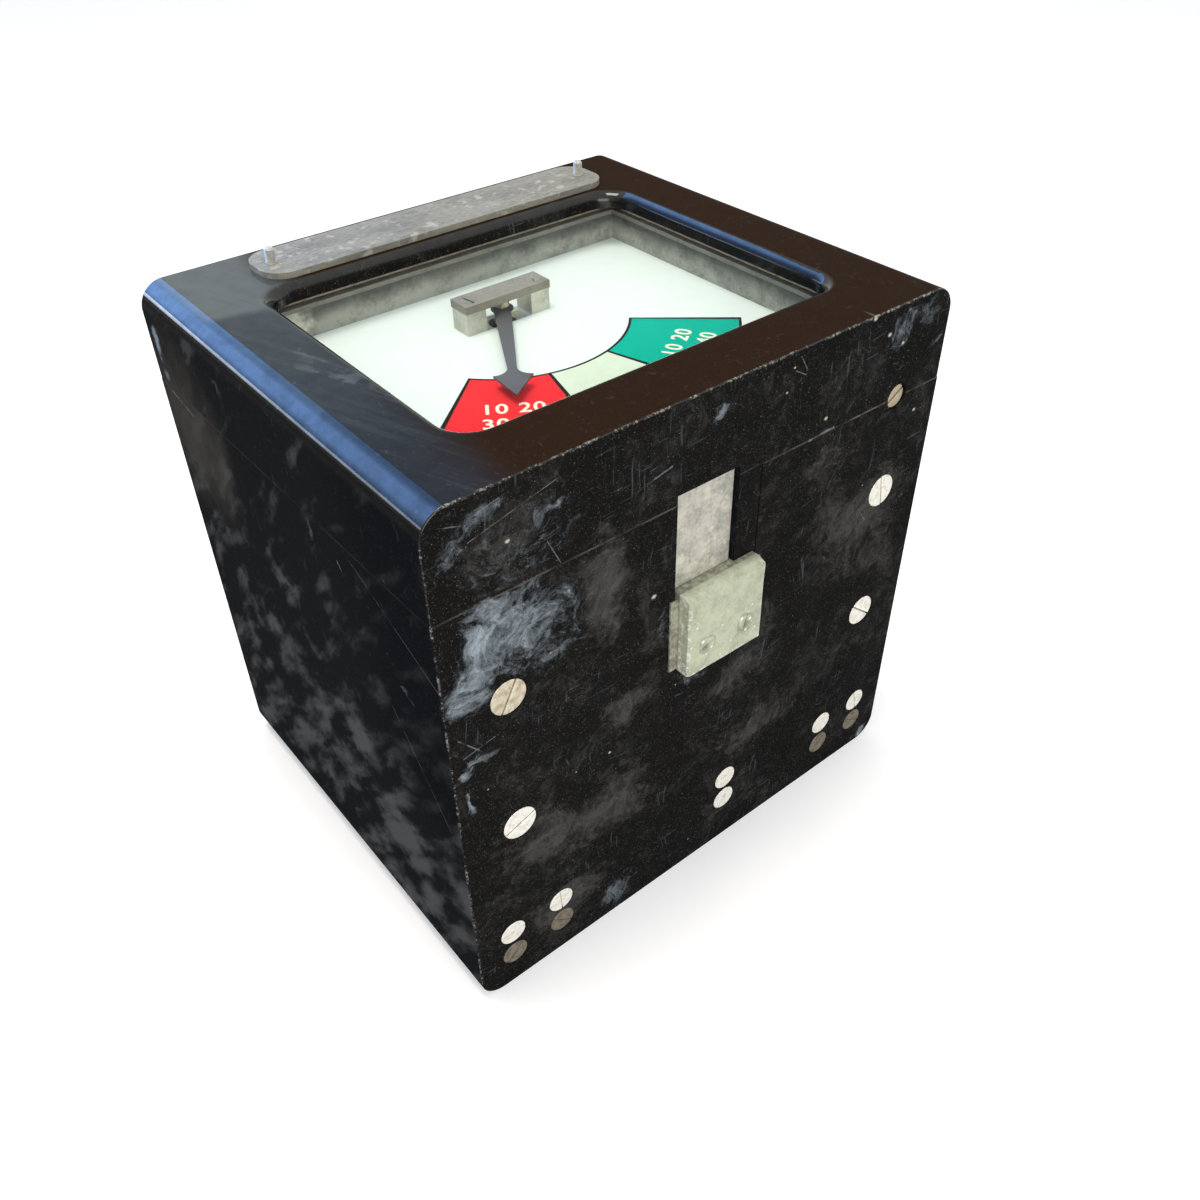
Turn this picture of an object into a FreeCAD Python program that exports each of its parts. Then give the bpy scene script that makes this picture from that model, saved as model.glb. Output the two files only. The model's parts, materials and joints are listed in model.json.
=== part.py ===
import FreeCAD, Part
import os
import re
import Sketcher

# A railway block indicator in a moulded case, lying on its back with the dial facing up.
# +Z is the dial's outward normal, -Y the instrument's underside, and the origin is
# the centre of the back face. All sizes are millimetres.

doc = FreeCAD.newDocument("block_indicator")
sheet = doc.addObject("Spreadsheet::Sheet", "Sizes")

SIZES = {
    # moulded case
    "case_width": 203.0,
    "case_height": 173.0,
    "case_depth": 205.5,
    "edge_radius": 9.3,
    "wall": 7.0,
    "back_wall": 8.0,
    "inner_radius": 4.0,
    "seam_bevel": 0.35,
    "cut_spare": 1.0,
    "hole_spare": 0.5,
    # cover
    "cover_drop": 34.1,
    "cover_wall": 6.6,
    "front_wall": 9.3,
    "window_side": 28.8,
    "window_border": 24.9,
    "window_top": 34.0,
    "window_radius": 11.0,
    "window_lip": 6.2,
    "lip_radius": 4.0,
    # glazing
    "glass_lap": 4.0,
    "glass_thick": 2.5,
    "gasket_thick": 0.6,
    "glazing_gap": 0.3,
    "retainer_thick": 1.5,
    "retainer_lap": 12.0,
    "retainer_inset": 0.6,
    "retainer_screw_lap": 4.3,
    "retainer_bite": 4.5,
    "retainer_head": 2.8,
    "retainer_head_thick": 1.6,
    # name-plate carrier
    "carrier_length": 142.0,
    "carrier_height": 23.4,
    "carrier_thick": 2.2,
    "carrier_offset": 3.8,
    "carrier_border": 6.5,
    "carrier_radius": 9.0,
    "stud_spacing": 130.0,
    "stud_radius": 1.7,
    "stud_rise": 5.2,
    "stud_shank": 2.0,
    "stud_collar": 0.3,
    "stud_tail": 1.0,
    "carrier_nut": 4.0,
    # screws through the walls
    "screw_inset": 21.2,
    "screw_high": 134.0,
    "screw_low": 79.0,
    "screw_head": 6.2,
    "screw_shank": 3.175,
    "screw_length": 17.0,
    "slot_width": 1.0,
    "fit_gap": 0.05,
    # screws of the terminal board
    "tag_outer_inset": 14.5,
    "tag_inner_inset": 35.0,
    "tag_middle": 12.0,
    "tag_high": 26.5,
    "tag_middle_high": 33.0,
    "tag_pitch": 11.4,
    "tag_head": 5.0,
    "tag_shank": 2.4,
    "tag_length": 13.0,
    # recessed screw on the seam
    "seam_hole": 4.6,
    "seam_head": 4.4,
    "seam_head_thick": 6.0,
    "seam_shank": 2.4,
    "seam_length": 9.0,
    # hasp, its channel and its keeper
    "channel_width": 34.8,
    "channel_depth": 4.0,
    "hasp_width": 24.7,
    "hasp_thick": 1.6,
    "hasp_gap": 0.2,
    "hasp_reach": 23.0,
    "hasp_float": 1.0,
    "hasp_notch": 3.2,
    "keeper_width": 33.0,
    "keeper_low": 107.0,
    "keeper_high": 138.5,
    "keeper_proud": 6.5,
    "keeper_bevel": 3.2,
    "keeper_edge": 0.8,
    "keeper_slot": 16.0,
    "keeper_screw_rise": 10.0,
    "keeper_screw_spread": 8.4,
    "keeper_head": 3.2,
    "keeper_shank": 1.75,
    "flange_width": 38.8,
    "flange_proud": 0.8,
    "flange_high": 136.0,
    # corner rails
    "rail_width": 16.0,
    "rail_foot": 44.0,
    "rail_rise": 7.5,
    "rail_deep": 20.0,
    "rail_slim": 12.0,
    # chassis plate
    "chassis_drop": 85.5,
    "chassis_thick": 3.0,
    "chassis_gap": 0.5,
    "chassis_screw_inset": 4.0,
    "chassis_head": 3.6,
    "chassis_head_thick": 2.4,
    "chassis_bite": 8.0,
    # dial
    "dial_drop": 21.5,
    "dial_side_inset": 13.5,
    "dial_end_inset": 9.0,
    "dial_thick": 1.6,
    "dial_radius": 4.0,
    "dial_bite": 3.5,
    "pillar_radius": 4.5,
    "surround_gap": 2.4,
    "surround_wall": 1.6,
    "surround_rise": 10.2,
    # bridge over the pointer
    "pivot_rise": 24.2,
    "bridge_length": 35.0,
    "bridge_width": 9.5,
    "bridge_rise": 10.6,
    "bridge_bar": 2.8,
    "bridge_leg": 8.1,
    "bridge_step": 0.25,
    "small_head": 3.0,
    "small_shank": 1.5,
    "small_slot": 0.8,
    # pointer
    "rest_swing": 31.0,
    "pointer_tip": 61.9,
    "pointer_root": 3.1,
    "pointer_neck": 1.55,
    "pointer_head": 6.4,
    "pointer_point": 12.8,
    "pointer_hub": 4.0,
    "pointer_thick": 0.7,
    "pointer_rise": 3.3,
    "spindle_radius": 1.5,
    "running_gap": 0.05,
    "collet_radius": 3.1,
    "collet_drop": 1.2,
    "collet_clearance": 2.0,
    "boss_radius": 2.6,
    "boss_length": 3.0,
    "end_float": 0.3,
    "bore_floor": 0.1,
    # movement
    "top_plate_thick": 2.5,
    "top_plate_width": 80.0,
    "top_plate_height": 60.0,
    "post_radius": 3.0,
    "post_spread": 34.0,
    "post_reach": 24.0,
    "coil_spread": 24.0,
    "core_radius": 4.5,
    "coil_radius": 14.0,
    "flange_radius": 15.0,
    "flange_thick": 1.5,
    "bobbin_wall": 1.2,
    "bobbin_length": 37.0,
    "yoke_length": 68.0,
    "yoke_width": 15.0,
    "yoke_thick": 4.0,
    "shoe_width": 18.0,
    "shoe_end": 34.0,
    "shoe_thick": 6.0,
    "armature_radius": 14.2,
    "armature_width": 8.0,
    "armature_gap": 0.5,
    "nut_radius": 6.5,
    "nut_thick": 3.2,
    "arm_reach": 21.0,
    "arm_width": 3.0,
    "arm_thick": 1.6,
    "arm_drop": 4.6,
    "weight_radius": 3.5,
    "weight_reach": 17.5,
    "weight_length": 4.5,
    "stop_radius": 1.25,
    "stop_reach": 11.0,
    "stop_gap": 0.3,
    "bush_radius": 4.0,
    "bush_length": 6.5,
    "bush_bore": 5.0,
    # terminals
    "board_thick": 9.0,
    "board_low": 8.6,
    "board_high": 39.0,
    "board_gap": 0.3,
    "stud_pitch": 24.0,
    "stud_level": 32.5,
    "stud_length": 17.0,
    "stud_sink": 6.0,
    "terminal_radius": 2.4,
    "terminal_nut": 4.8,
    "terminal_nut_thick": 3.2,
    "washer_radius": 5.4,
    "washer_thick": 0.9,
    # back wall
    "fixing_spread": 70.0,
    "fixing_reach": 58.0,
    "fixing_hole": 3.3,
    "cable_spread": 34.0,
    "cable_reach": 40.0,
    "cable_hole": 8.0,
}
for row, (word, number) in enumerate(SIZES.items(), start=1):
    sheet.set(f"A{row}", word)
    sheet.set(f"B{row}", str(number))
    sheet.setAlias(f"B{row}", word)
doc.recompute()

SEAM = "(case_depth - cover_drop)"
UNDERSIDE = "(case_height / 2)"
INNER_FACE = "(case_height / 2 - wall)"
WINDOW_LOW = "(window_border - case_height / 2)"
WINDOW_HIGH = "(case_height / 2 - window_top)"
WINDOW_HALF = "(case_width / 2 - window_side)"
WINDOW_TALL = "(case_height - window_border - window_top)"
GLASS_TOP = "(case_depth - window_lip - gasket_thick)"
GLASS_BOTTOM = "(case_depth - window_lip - gasket_thick - glass_thick)"
CARRIER_MIDDLE = "(case_height / 2 - carrier_border - carrier_height / 2)"
DIAL = "(case_depth - dial_drop)"
DIAL_UNDER = "(case_depth - dial_drop - dial_thick)"
RAIL_TOP = "(case_depth - cover_drop + rail_rise)"
RAIL_MIDDLE = "(case_height / 2 - wall - rail_slim / 2)"
SCREW_SPREAD = "(case_width / 2 - screw_inset)"
TAG_OUTER = "(case_width / 2 - tag_outer_inset)"
TAG_INNER = "(case_width / 2 - tag_inner_inset)"
DIAL_SIDE = "(case_width / 2 - dial_side_inset)"
DIAL_END = "(case_height / 2 - dial_end_inset)"
CHASSIS_UNDER = "(case_depth - chassis_drop)"
CHASSIS = "(case_depth - chassis_drop + chassis_thick)"
BAR_UNDER = "(case_depth - dial_drop + bridge_rise - bridge_bar)"
POINTER_UNDER = "(case_depth - dial_drop + pointer_rise)"
PLATE_UNDER = "(case_depth - dial_drop - dial_thick - top_plate_thick)"
YOKE_TOP = "(case_depth - chassis_drop + chassis_thick + yoke_thick)"
SHOE_UNDER = "(case_depth - chassis_drop + chassis_thick + yoke_thick + bobbin_length)"
HASP_LEFT = "(hasp_gap - channel_width / 2)"
HASP_RIGHT = "(hasp_gap + hasp_width - channel_width / 2)"
HASP_FACE = "(case_height / 2 - channel_depth + hasp_gap + hasp_thick)"
HASP_BACK = "(case_height / 2 - channel_depth + hasp_gap)"

X_AXIS = FreeCAD.Vector(1, 0, 0)
Y_AXIS = FreeCAD.Vector(0, 1, 0)
Z_AXIS = FreeCAD.Vector(0, 0, 1)
TURNS = {
    "+z": FreeCAD.Rotation(),
    "-z": FreeCAD.Rotation(X_AXIS, 180),
    "+y": FreeCAD.Rotation(X_AXIS, -90),
    "-y": FreeCAD.Rotation(X_AXIS, 90),
}
nodes = []


def size(word):
    """The number in one cell of the sheet."""
    return float(sheet.get(word))


def tie(thing, name, formula):
    """Bind a property to a formula whose words are cells of the sheet."""
    thing.setExpression(name, re.sub(r"([a-z][a-z_]+)", r"Sizes.\1", formula))


def settle(thing, at, towards="+z", spin=0.0):
    """Give a solid its place: a point by formulas, a direction for its own Z, and a spin about it."""
    turn = TURNS[towards].multiply(FreeCAD.Rotation(Z_AXIS, spin))
    thing.Placement = FreeCAD.Placement(FreeCAD.Vector(), turn)
    for axis, formula in zip("xyz", at):
        tie(thing, "Placement.Base." + axis, formula)
    return thing


def box(name, x, y, z):
    """A block between low and high formulas on each axis."""
    solid = doc.addObject("Part::Box", name)
    for side, axis, (low, high) in zip(("Length", "Width", "Height"), "xyz", (x, y, z)):
        tie(solid, side, f"({high}) - ({low})")
        tie(solid, "Placement.Base." + axis, low)
    return solid


def rod(name, radius, length, at=("0", "0", "0"), towards="+z"):
    """A round bar."""
    solid = doc.addObject("Part::Cylinder", name)
    tie(solid, "Radius", radius)
    tie(solid, "Height", length)
    return settle(solid, at, towards)


def taper(name, near, far, length, at=("0", "0", "0"), towards="+z"):
    """A cone frustum from the near radius to the far one."""
    solid = doc.addObject("Part::Cone", name)
    tie(solid, "Radius1", near)
    tie(solid, "Radius2", far)
    tie(solid, "Height", length)
    return settle(solid, at, towards)


def hexagon(name, radius, length, at=("0", "0", "0"), towards="+z"):
    """A hexagonal bar measured to its corners."""
    solid = doc.addObject("Part::Prism", name)
    solid.Polygon = 6
    tie(solid, "Circumradius", radius)
    tie(solid, "Height", length)
    return settle(solid, at, towards)


def join(name, *solids):
    """One solid out of several."""
    whole = doc.addObject("Part::MultiFuse", name)
    whole.Shapes = list(solids)
    whole.Refine = True
    return whole


def carve(name, solid, *tools):
    """A solid less its tools."""
    rest = doc.addObject("Part::Cut", name)
    rest.Base = solid
    rest.Tool = tools[0] if len(tools) == 1 else join(name + "_tools", *tools)
    rest.Refine = True
    return rest


def group(name, solids):
    """Like pieces that share one node."""
    whole = doc.addObject("Part::Compound", name)
    whole.Links = list(solids)
    return whole


def node(label, thing):
    """Name a finished sub-part."""
    thing.Label = label
    nodes.append(thing)
    return thing


def origin_plane(body, role):
    """One of a body's own origin planes."""
    return next(item for item in body.Origin.OriginFeatures if item.Role == role)


def flat_sketch(body, name, role, lift="0"):
    """An empty sketch on an origin plane, lifted along the plane's normal."""
    sketch = body.newObject("Sketcher::SketchObject", name)
    sketch.AttachmentSupport = [(origin_plane(body, role), "")]
    sketch.MapMode = "FlatFace"
    tie(sketch, "AttachmentOffset.Base.z", lift)
    return sketch


def hold(sketch, kind, line, end, formula, first_guess):
    """Measure one point of a sketch from its origin by a formula."""
    index = sketch.addConstraint(Sketcher.Constraint(kind, -1, 1, line, end, first_guess))
    tie(sketch, f"Constraints[{index}]", formula)


def outline(sketch, points, guesses):
    """A closed polygon through points that are pairs of formulas, drawn at first through the guesses."""
    count = len(points)
    start = [FreeCAD.Vector(x, y, 0) for x, y in guesses]
    for i in range(count):
        sketch.addGeometry(Part.LineSegment(start[i], start[(i + 1) % count]), False)
    for i in range(count):
        sketch.addConstraint(Sketcher.Constraint("Coincident", i, 2, (i + 1) % count, 1))
    for i, (x, y) in enumerate(points):
        hold(sketch, "DistanceX", i, 1, x, start[i].x)
        hold(sketch, "DistanceY", i, 1, y, start[i].y)


def rectangle(sketch, x, y):
    """A rectangle between low and high formulas."""
    outline(sketch, [(x[0], y[0]), (x[1], y[0]), (x[1], y[1]), (x[0], y[1])],
            [(10, 10), (20, 10), (20, 20), (10, 20)])


def pad(body, name, sketch, length, both_ways=False):
    """A sketch grown into a solid."""
    feature = body.newObject("PartDesign::Pad", name)
    feature.Profile = sketch
    tie(feature, "Length", length)
    feature.Midplane = both_ways
    return feature


def pocket(body, name, sketch, depth, reverse=False):
    """A sketch cut into the solid, against the sketch's normal unless reversed."""
    feature = body.newObject("PartDesign::Pocket", name)
    feature.Profile = sketch
    tie(feature, "Length", depth)
    feature.Reversed = reverse
    return feature


def edges_along(shape, direction, test):
    """Names of straight edges that run along a direction and pass a test on their middle."""
    found = []
    for index, edge in enumerate(shape.Edges, start=1):
        if edge.Curve.TypeId != "Part::GeomLine":
            continue
        if edge.Length > 0 and abs(abs(edge.tangentAt(edge.FirstParameter).dot(direction)) - 1) < 1e-6:
            if test(edge.CenterOfMass):
                found.append(f"Edge{index}")
    return found


def soften(body, kind, name, base, edges, formula):
    """A fillet or chamfer on named edges of the last feature."""
    feature = body.newObject("PartDesign::" + kind, name)
    feature.Base = (base, edges)
    tie(feature, "Radius" if kind == "Fillet" else "Size", formula)
    return feature


def countersunk(name, head, shank, length, slot, clearance="0"):
    """A slotted countersunk screw, its face at its own origin and its shank pointing down."""
    cone = taper(name + "_cone", f"{head} + {clearance}", f"{shank} + {clearance}",
                 f"{head} - {shank}", ("0", "0", "0"), "-z")
    shaft = rod(name + "_shank", f"{shank} + {clearance}", f"{length}", ("0", "0", "0"), "-z")
    whole = join(name + "_whole", cone, shaft)
    if slot is None:
        return whole
    nick = box(name + "_slot", (f"-{head}", head), (f"-{slot} / 2", f"{slot} / 2"),
               (f"-{slot}", "cut_spare"))
    return carve(name, whole, nick)


def cheese_head(name, head, head_thick, shank, length, slot):
    """A slotted cheese-head screw, seated at its own origin with its head above."""
    cap = rod(name + "_head", head, head_thick)
    shaft = rod(name + "_shank", shank, length, ("0", "0", "0"), "-z")
    whole = join(name + "_whole", cap, shaft)
    nick = box(name + "_slot", (f"-{head}", head), (f"-{slot} / 2", f"{slot} / 2"),
               (f"{head_thick} / 2", f"{head_thick} + cut_spare"))
    return carve(name, whole, nick)


def nut(name, radius, thick, bore, at, towards):
    """A hexagonal nut, its underside at the given point."""
    blank = hexagon(name + "_blank", radius, thick)
    hole = rod(name + "_bore", bore, thick)
    return settle(carve(name, blank, hole), at, towards)


# Where the wall screws and the terminal board's screws stand, as x and z.
wall_spots = [(f"{side} * {SCREW_SPREAD}", level) for side in ("-1", "1")
              for level in ("screw_low", "screw_high")]
tag_columns = [(f"0 - {TAG_OUTER}", "tag_high"), (f"0 - {TAG_INNER}", "tag_high"),
               ("tag_middle", "tag_middle_high"),
               (TAG_INNER, "tag_high"), (TAG_OUTER, "tag_high")]
tag_spots = [(column, level) for column, high in tag_columns for level in (high, f"{high} - tag_pitch")]
quarters = [(across, along) for across in ("-1", "1") for along in ("-1", "1")]


def make_base_shell():
    """The moulded box: rounded back edges, open at the seam, with the hasp's channel."""
    body = doc.addObject("PartDesign::Body", "base_moulding")
    side = flat_sketch(body, "base_side", "XZ_Plane")
    rectangle(side, ("0 - case_width / 2", "case_width / 2"), ("0", SEAM))
    block = pad(body, "base_block", side, "case_height", True)
    doc.recompute()
    low = edges_along(block.Shape, Y_AXIS, lambda p: p.z < 1)
    rounded = soften(body, "Fillet", "base_rounding", block, low, "edge_radius")
    mouth = flat_sketch(body, "base_mouth", "XY_Plane", SEAM)
    rectangle(mouth, ("wall - case_width / 2", "case_width / 2 - wall"),
              (f"0 - {INNER_FACE}", INNER_FACE))
    hollow = pocket(body, "base_hollow", mouth, f"{SEAM} - back_wall")
    doc.recompute()
    side_face = size("case_width") / 2 - size("wall")
    upright = edges_along(hollow.Shape, Z_AXIS, lambda p: abs(abs(p.x) - side_face) < 0.01)
    soften(body, "Fillet", "base_inner_rounding", hollow, upright, "inner_radius")
    track = flat_sketch(body, "base_track", "XY_Plane", SEAM)
    rectangle(track, ("0 - channel_width / 2", "channel_width / 2"),
              (f"0 - {UNDERSIDE} - cut_spare", f"channel_depth - {UNDERSIDE}"))
    pocket(body, "base_channel", track, f"{SEAM} - keeper_low")
    doc.recompute()
    top = body.Tip.Shape
    seam = size("case_depth") - size("cover_drop")
    outer_side = size("case_width") / 2
    outer_end = size("case_height") / 2
    rim = edges_along(top, Y_AXIS, lambda p: abs(p.z - seam) < 0.01 and abs(abs(p.x) - outer_side) < 0.01)
    rim += edges_along(top, X_AXIS, lambda p: abs(p.z - seam) < 0.01 and abs(abs(p.y) - outer_end) < 0.01)
    soften(body, "Chamfer", "base_seam_bevel", body.Tip, rim, "seam_bevel")
    doc.recompute()

    tools = []
    for index, (x, z) in enumerate(wall_spots):
        for end, towards in (("-1", "-y"), ("1", "+y")):
            hole = countersunk(f"wall_hole_{index}{towards}", "screw_head", "screw_shank",
                               "wall + 2 * cut_spare", None, "fit_gap")
            tools.append(settle(hole, (x, f"{end} * {UNDERSIDE}", z), towards))
    for index, (x, z) in enumerate(tag_spots):
        hole = countersunk(f"tag_hole_{index}", "tag_head", "tag_shank", "wall + 2 * cut_spare", None,
                           "fit_gap")
        tools.append(settle(hole, (x, f"0 - {UNDERSIDE}", z), "-y"))
    tools.append(rod("base_seam_hole", "seam_hole", "wall + 2 * cut_spare",
                     (SCREW_SPREAD, f"0 - {UNDERSIDE} - cut_spare", SEAM), "+y"))
    for index, (across, along) in enumerate(quarters):
        at = (f"{across} * fixing_spread", f"{along} * fixing_reach", "0 - cut_spare")
        tools.append(rod(f"fixing_hole_{index}", "fixing_hole", "back_wall + 2 * cut_spare", at))
    for across in ("-1", "1"):
        at = (f"{across} * cable_spread", "cable_reach", "0 - cut_spare")
        tools.append(rod("cable_hole" + across, "cable_hole", "back_wall + 2 * cut_spare", at))
    for across in ("-1", "1"):
        at = (f"{across} * keeper_screw_spread", f"0 - {UNDERSIDE}", "keeper_low + keeper_screw_rise")
        tools.append(rod("keeper_pilot" + across, "keeper_shank", "wall + cut_spare", at, "+y"))
    node("base_shell", carve("base_shell", body, *tools))


def make_wall_screws():
    """Slotted brass screws through the underside and top walls into the corner rails."""
    for label, end, towards, spin in (("underside_screws", "-1", "-y", 65),
                                      ("top_wall_screws", "1", "+y", 20)):
        screws = []
        for index, (x, z) in enumerate(wall_spots):
            screw = countersunk(f"{label}_{index}", "screw_head", "screw_shank", "screw_length", "slot_width")
            screws.append(settle(screw, (x, f"{end} * {UNDERSIDE}", z), towards, spin + 47 * index))
        node(label, group(label, screws))
    tags = []
    for index, (x, z) in enumerate(tag_spots):
        screw = countersunk(f"tag_screw_{index}", "tag_head", "tag_shank", "tag_length", "slot_width")
        tags.append(settle(screw, (x, f"0 - {UNDERSIDE}", z), "-y", 31 * index))
    node("terminal_board_screws", group("terminal_board_screws", tags))
    screw = cheese_head("seam_screw", "seam_head", "seam_head_thick", "seam_shank", "seam_length",
                        "slot_width")
    node("seam_screw", settle(screw, (SCREW_SPREAD, f"0 - {INNER_FACE}", SEAM), "-y", 30))


def make_corner_rails():
    """Four metal rails inside the corners: they take the wall screws and carry the chassis and dial."""
    for across, hand in (("-1", "left"), ("1", "right")):
        for along, end in (("-1", "lower"), ("1", "upper")):
            label = f"rail_{end}_{hand}"
            middle = f"({across} * {SCREW_SPREAD})"
            x = (f"{middle} - rail_width / 2", f"{middle} + rail_width / 2")
            deep = [f"{along} * {INNER_FACE}", f"{along} * ({INNER_FACE} - rail_deep)"]
            slim = [f"{along} * {INNER_FACE}", f"{along} * ({INNER_FACE} - rail_slim)"]
            if along == "1":
                deep.reverse()
                slim.reverse()
            foot = box(label + "_foot", x, deep, ("rail_foot", CHASSIS_UNDER))
            stem = box(label + "_stem", x, slim, ("rail_foot", RAIL_TOP))
            towards = "-y" if along == "1" else "+y"
            tools = []
            for index, level in enumerate(("screw_low", "screw_high")):
                tools.append(rod(f"{label}_hole_{index}", "screw_shank + fit_gap",
                                 "screw_length - wall + hole_spare",
                                 (middle, f"{along} * {INNER_FACE}", level), towards))
            tools.append(rod(label + "_dial_hole", "small_shank + fit_gap", "dial_bite + hole_spare",
                             (middle, f"{along} * {RAIL_MIDDLE}", RAIL_TOP), "-z"))
            tools.append(rod(label + "_chassis_hole", "tag_shank + fit_gap", "chassis_bite + hole_spare",
                             (middle, f"{along} * ({INNER_FACE} - rail_deep + chassis_screw_inset)",
                              CHASSIS_UNDER), "-z"))
            if label == "rail_lower_right":
                tools.append(rod(label + "_seam_hole", "seam_shank + fit_gap", "seam_length + hole_spare",
                                 (middle, f"0 - {INNER_FACE}", SEAM), "+y"))
            node(label, carve(label, join(label + "_bar", foot, stem), *tools))


def make_chassis():
    """The plate that carries the movement, screwed to the rails' shoulders."""
    reach = f"({INNER_FACE} - rail_slim - chassis_gap)"
    plate = box("chassis_blank", (f"0 - {SCREW_SPREAD} - rail_width / 2", f"{SCREW_SPREAD} + rail_width / 2"),
                (f"0 - {reach}", reach), (CHASSIS_UNDER, CHASSIS))
    tools = []
    screws = []
    for index, (across, along) in enumerate(quarters):
        at = (f"{across} * {SCREW_SPREAD}", f"{along} * ({INNER_FACE} - rail_deep + chassis_screw_inset)",
              CHASSIS)
        tools.append(rod(f"chassis_hole_{index}", "tag_shank + fit_gap", "chassis_thick", at, "-z"))
        screw = cheese_head(f"chassis_screw_{index}", "chassis_head", "chassis_head_thick", "tag_shank",
                            "chassis_thick + chassis_bite", "small_slot")
        screws.append(settle(screw, at, "+z", 40 * index))
    node("chassis_plate", carve("chassis_plate", plate, *tools))
    node("chassis_screws", group("chassis_screws", screws))


def make_dial():
    """The white dial, its pillars and screws, and the upright surround below the glass."""
    body = doc.addObject("PartDesign::Body", "dial_sheet")
    face = flat_sketch(body, "dial_face", "XY_Plane", DIAL_UNDER)
    rectangle(face, (f"0 - {DIAL_SIDE}", DIAL_SIDE), (f"0 - {DIAL_END}", DIAL_END))
    slab = pad(body, "dial_slab", face, "dial_thick")
    doc.recompute()
    soften(body, "Fillet", "dial_corners", slab, edges_along(slab.Shape, Z_AXIS, lambda p: True),
           "dial_radius")
    slot = flat_sketch(body, "dial_opening", "XY_Plane", DIAL)
    rectangle(slot, ("bridge_leg - bridge_length / 2", "bridge_length / 2 - bridge_leg"),
              ("pivot_rise - bridge_width / 2 + bridge_step", "pivot_rise + bridge_width / 2 - bridge_step"))
    pocket(body, "dial_slot", slot, "dial_thick")
    tools = []
    pillars = []
    screws = []
    for index, (across, along) in enumerate(quarters):
        x = f"{across} * {SCREW_SPREAD}"
        y = f"{along} * {RAIL_MIDDLE}"
        hole = countersunk(f"dial_hole_{index}", "small_head", "small_shank", "dial_thick + 2 * cut_spare",
                           None, "fit_gap")
        tools.append(settle(hole, (x, y, DIAL)))
        tube = rod(f"pillar_tube_{index}", "pillar_radius", f"{DIAL_UNDER} - {RAIL_TOP}", (x, y, RAIL_TOP))
        bore = rod(f"pillar_bore_{index}", "small_shank + fit_gap", f"{DIAL_UNDER} - {RAIL_TOP}",
                   (x, y, RAIL_TOP))
        pillars.append(carve(f"dial_pillar_{index}", tube, bore))
        screw = countersunk(f"dial_screw_{index}", "small_head", "small_shank",
                            f"({DIAL} - {RAIL_TOP} + dial_bite)", "small_slot")
        screws.append(settle(screw, (x, y, DIAL), "+z", 30 + 50 * index))
    for across in ("-1", "1"):
        tools.append(rod("dial_bridge_hole" + across, "small_shank + fit_gap", "dial_thick",
                         (f"{across} * (bridge_length - bridge_leg) / 2", "pivot_rise", DIAL_UNDER)))
    node("dial_plate", carve("dial_plate", body, *tools))
    node("dial_pillars", group("dial_pillars", pillars))
    node("dial_screws", group("dial_screws", screws))
    inner_x = f"({WINDOW_HALF} + surround_gap)"
    low = f"({WINDOW_LOW} - surround_gap)"
    high = f"({WINDOW_HIGH} + surround_gap)"
    z = (DIAL, f"{DIAL} + surround_rise")
    wall_block = box("surround_block", (f"0 - {inner_x} - surround_wall", f"{inner_x} + surround_wall"),
                     (f"{low} - surround_wall", f"{high} + surround_wall"), z)
    void = box("surround_void", (f"0 - {inner_x}", inner_x), (low, high), z)
    node("dial_surround", carve("dial_surround", wall_block, void))


def make_bridge():
    """The plated bridge over the pointer's pivot: a bar on two legs, with two screws and a bearing."""
    y = ("pivot_rise - bridge_width / 2", "pivot_rise + bridge_width / 2")
    bar = box("bridge_blank", ("0 - bridge_length / 2", "bridge_length / 2"), y,
              (BAR_UNDER, f"{BAR_UNDER} + bridge_bar"))
    tools = []
    screws = []
    for across in ("-1", "1"):
        x = f"{across} * (bridge_length - bridge_leg) / 2"
        top = (x, "pivot_rise", f"{BAR_UNDER} + bridge_bar")
        hole = countersunk("bridge_hole" + across, "small_head", "small_shank", "bridge_bar + cut_spare",
                           None, "fit_gap")
        tools.append(settle(hole, top))
        screw = countersunk("bridge_screw" + across, "small_head", "small_shank",
                            "bridge_rise + dial_thick + top_plate_thick", "small_slot")
        screws.append(settle(screw, top, "+z", 60 if across == "1" else 100))
    node("bridge_bar", carve("bridge_bar", bar, *tools))
    node("bridge_screws", group("bridge_screws", screws))
    for across, hand in (("-1", "left"), ("1", "right")):
        label = "bridge_leg_" + hand
        ends = [f"{across} * (bridge_length / 2 - bridge_step)",
                f"{across} * (bridge_length / 2 - bridge_leg)"]
        if across == "1":
            ends.reverse()
        leg = box(label + "_block", ends, ("pivot_rise - bridge_width / 2 + bridge_step",
                                           "pivot_rise + bridge_width / 2 - bridge_step"), (DIAL, BAR_UNDER))
        hole = rod(label + "_hole", "small_shank + fit_gap", "bridge_rise",
                   (f"{across} * (bridge_length - bridge_leg) / 2", "pivot_rise", DIAL))
        node(label, carve(label, leg, hole))
    boss = rod("front_boss", "boss_radius", "boss_length", ("0", "pivot_rise", f"{BAR_UNDER} - boss_length"))
    bore = rod("front_bore", "spindle_radius + running_gap", "boss_length - end_float - bore_floor",
               ("0", "pivot_rise", f"{BAR_UNDER} - boss_length"))
    node("front_bearing", carve("front_bearing", boss, bore))


def swing(thing, side=-1):
    """Turn a piece about the pivot to one end of the pointer's travel: -1 is where it rests."""
    turn = FreeCAD.Rotation(FreeCAD.Vector(0, 0, side), 1)
    thing.Placement = FreeCAD.Placement(FreeCAD.Vector(), turn)
    tie(thing, "Placement.Base.y", "pivot_rise")
    tie(thing, "Placement.Rotation.Angle", "rest_swing")
    return thing


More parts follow.
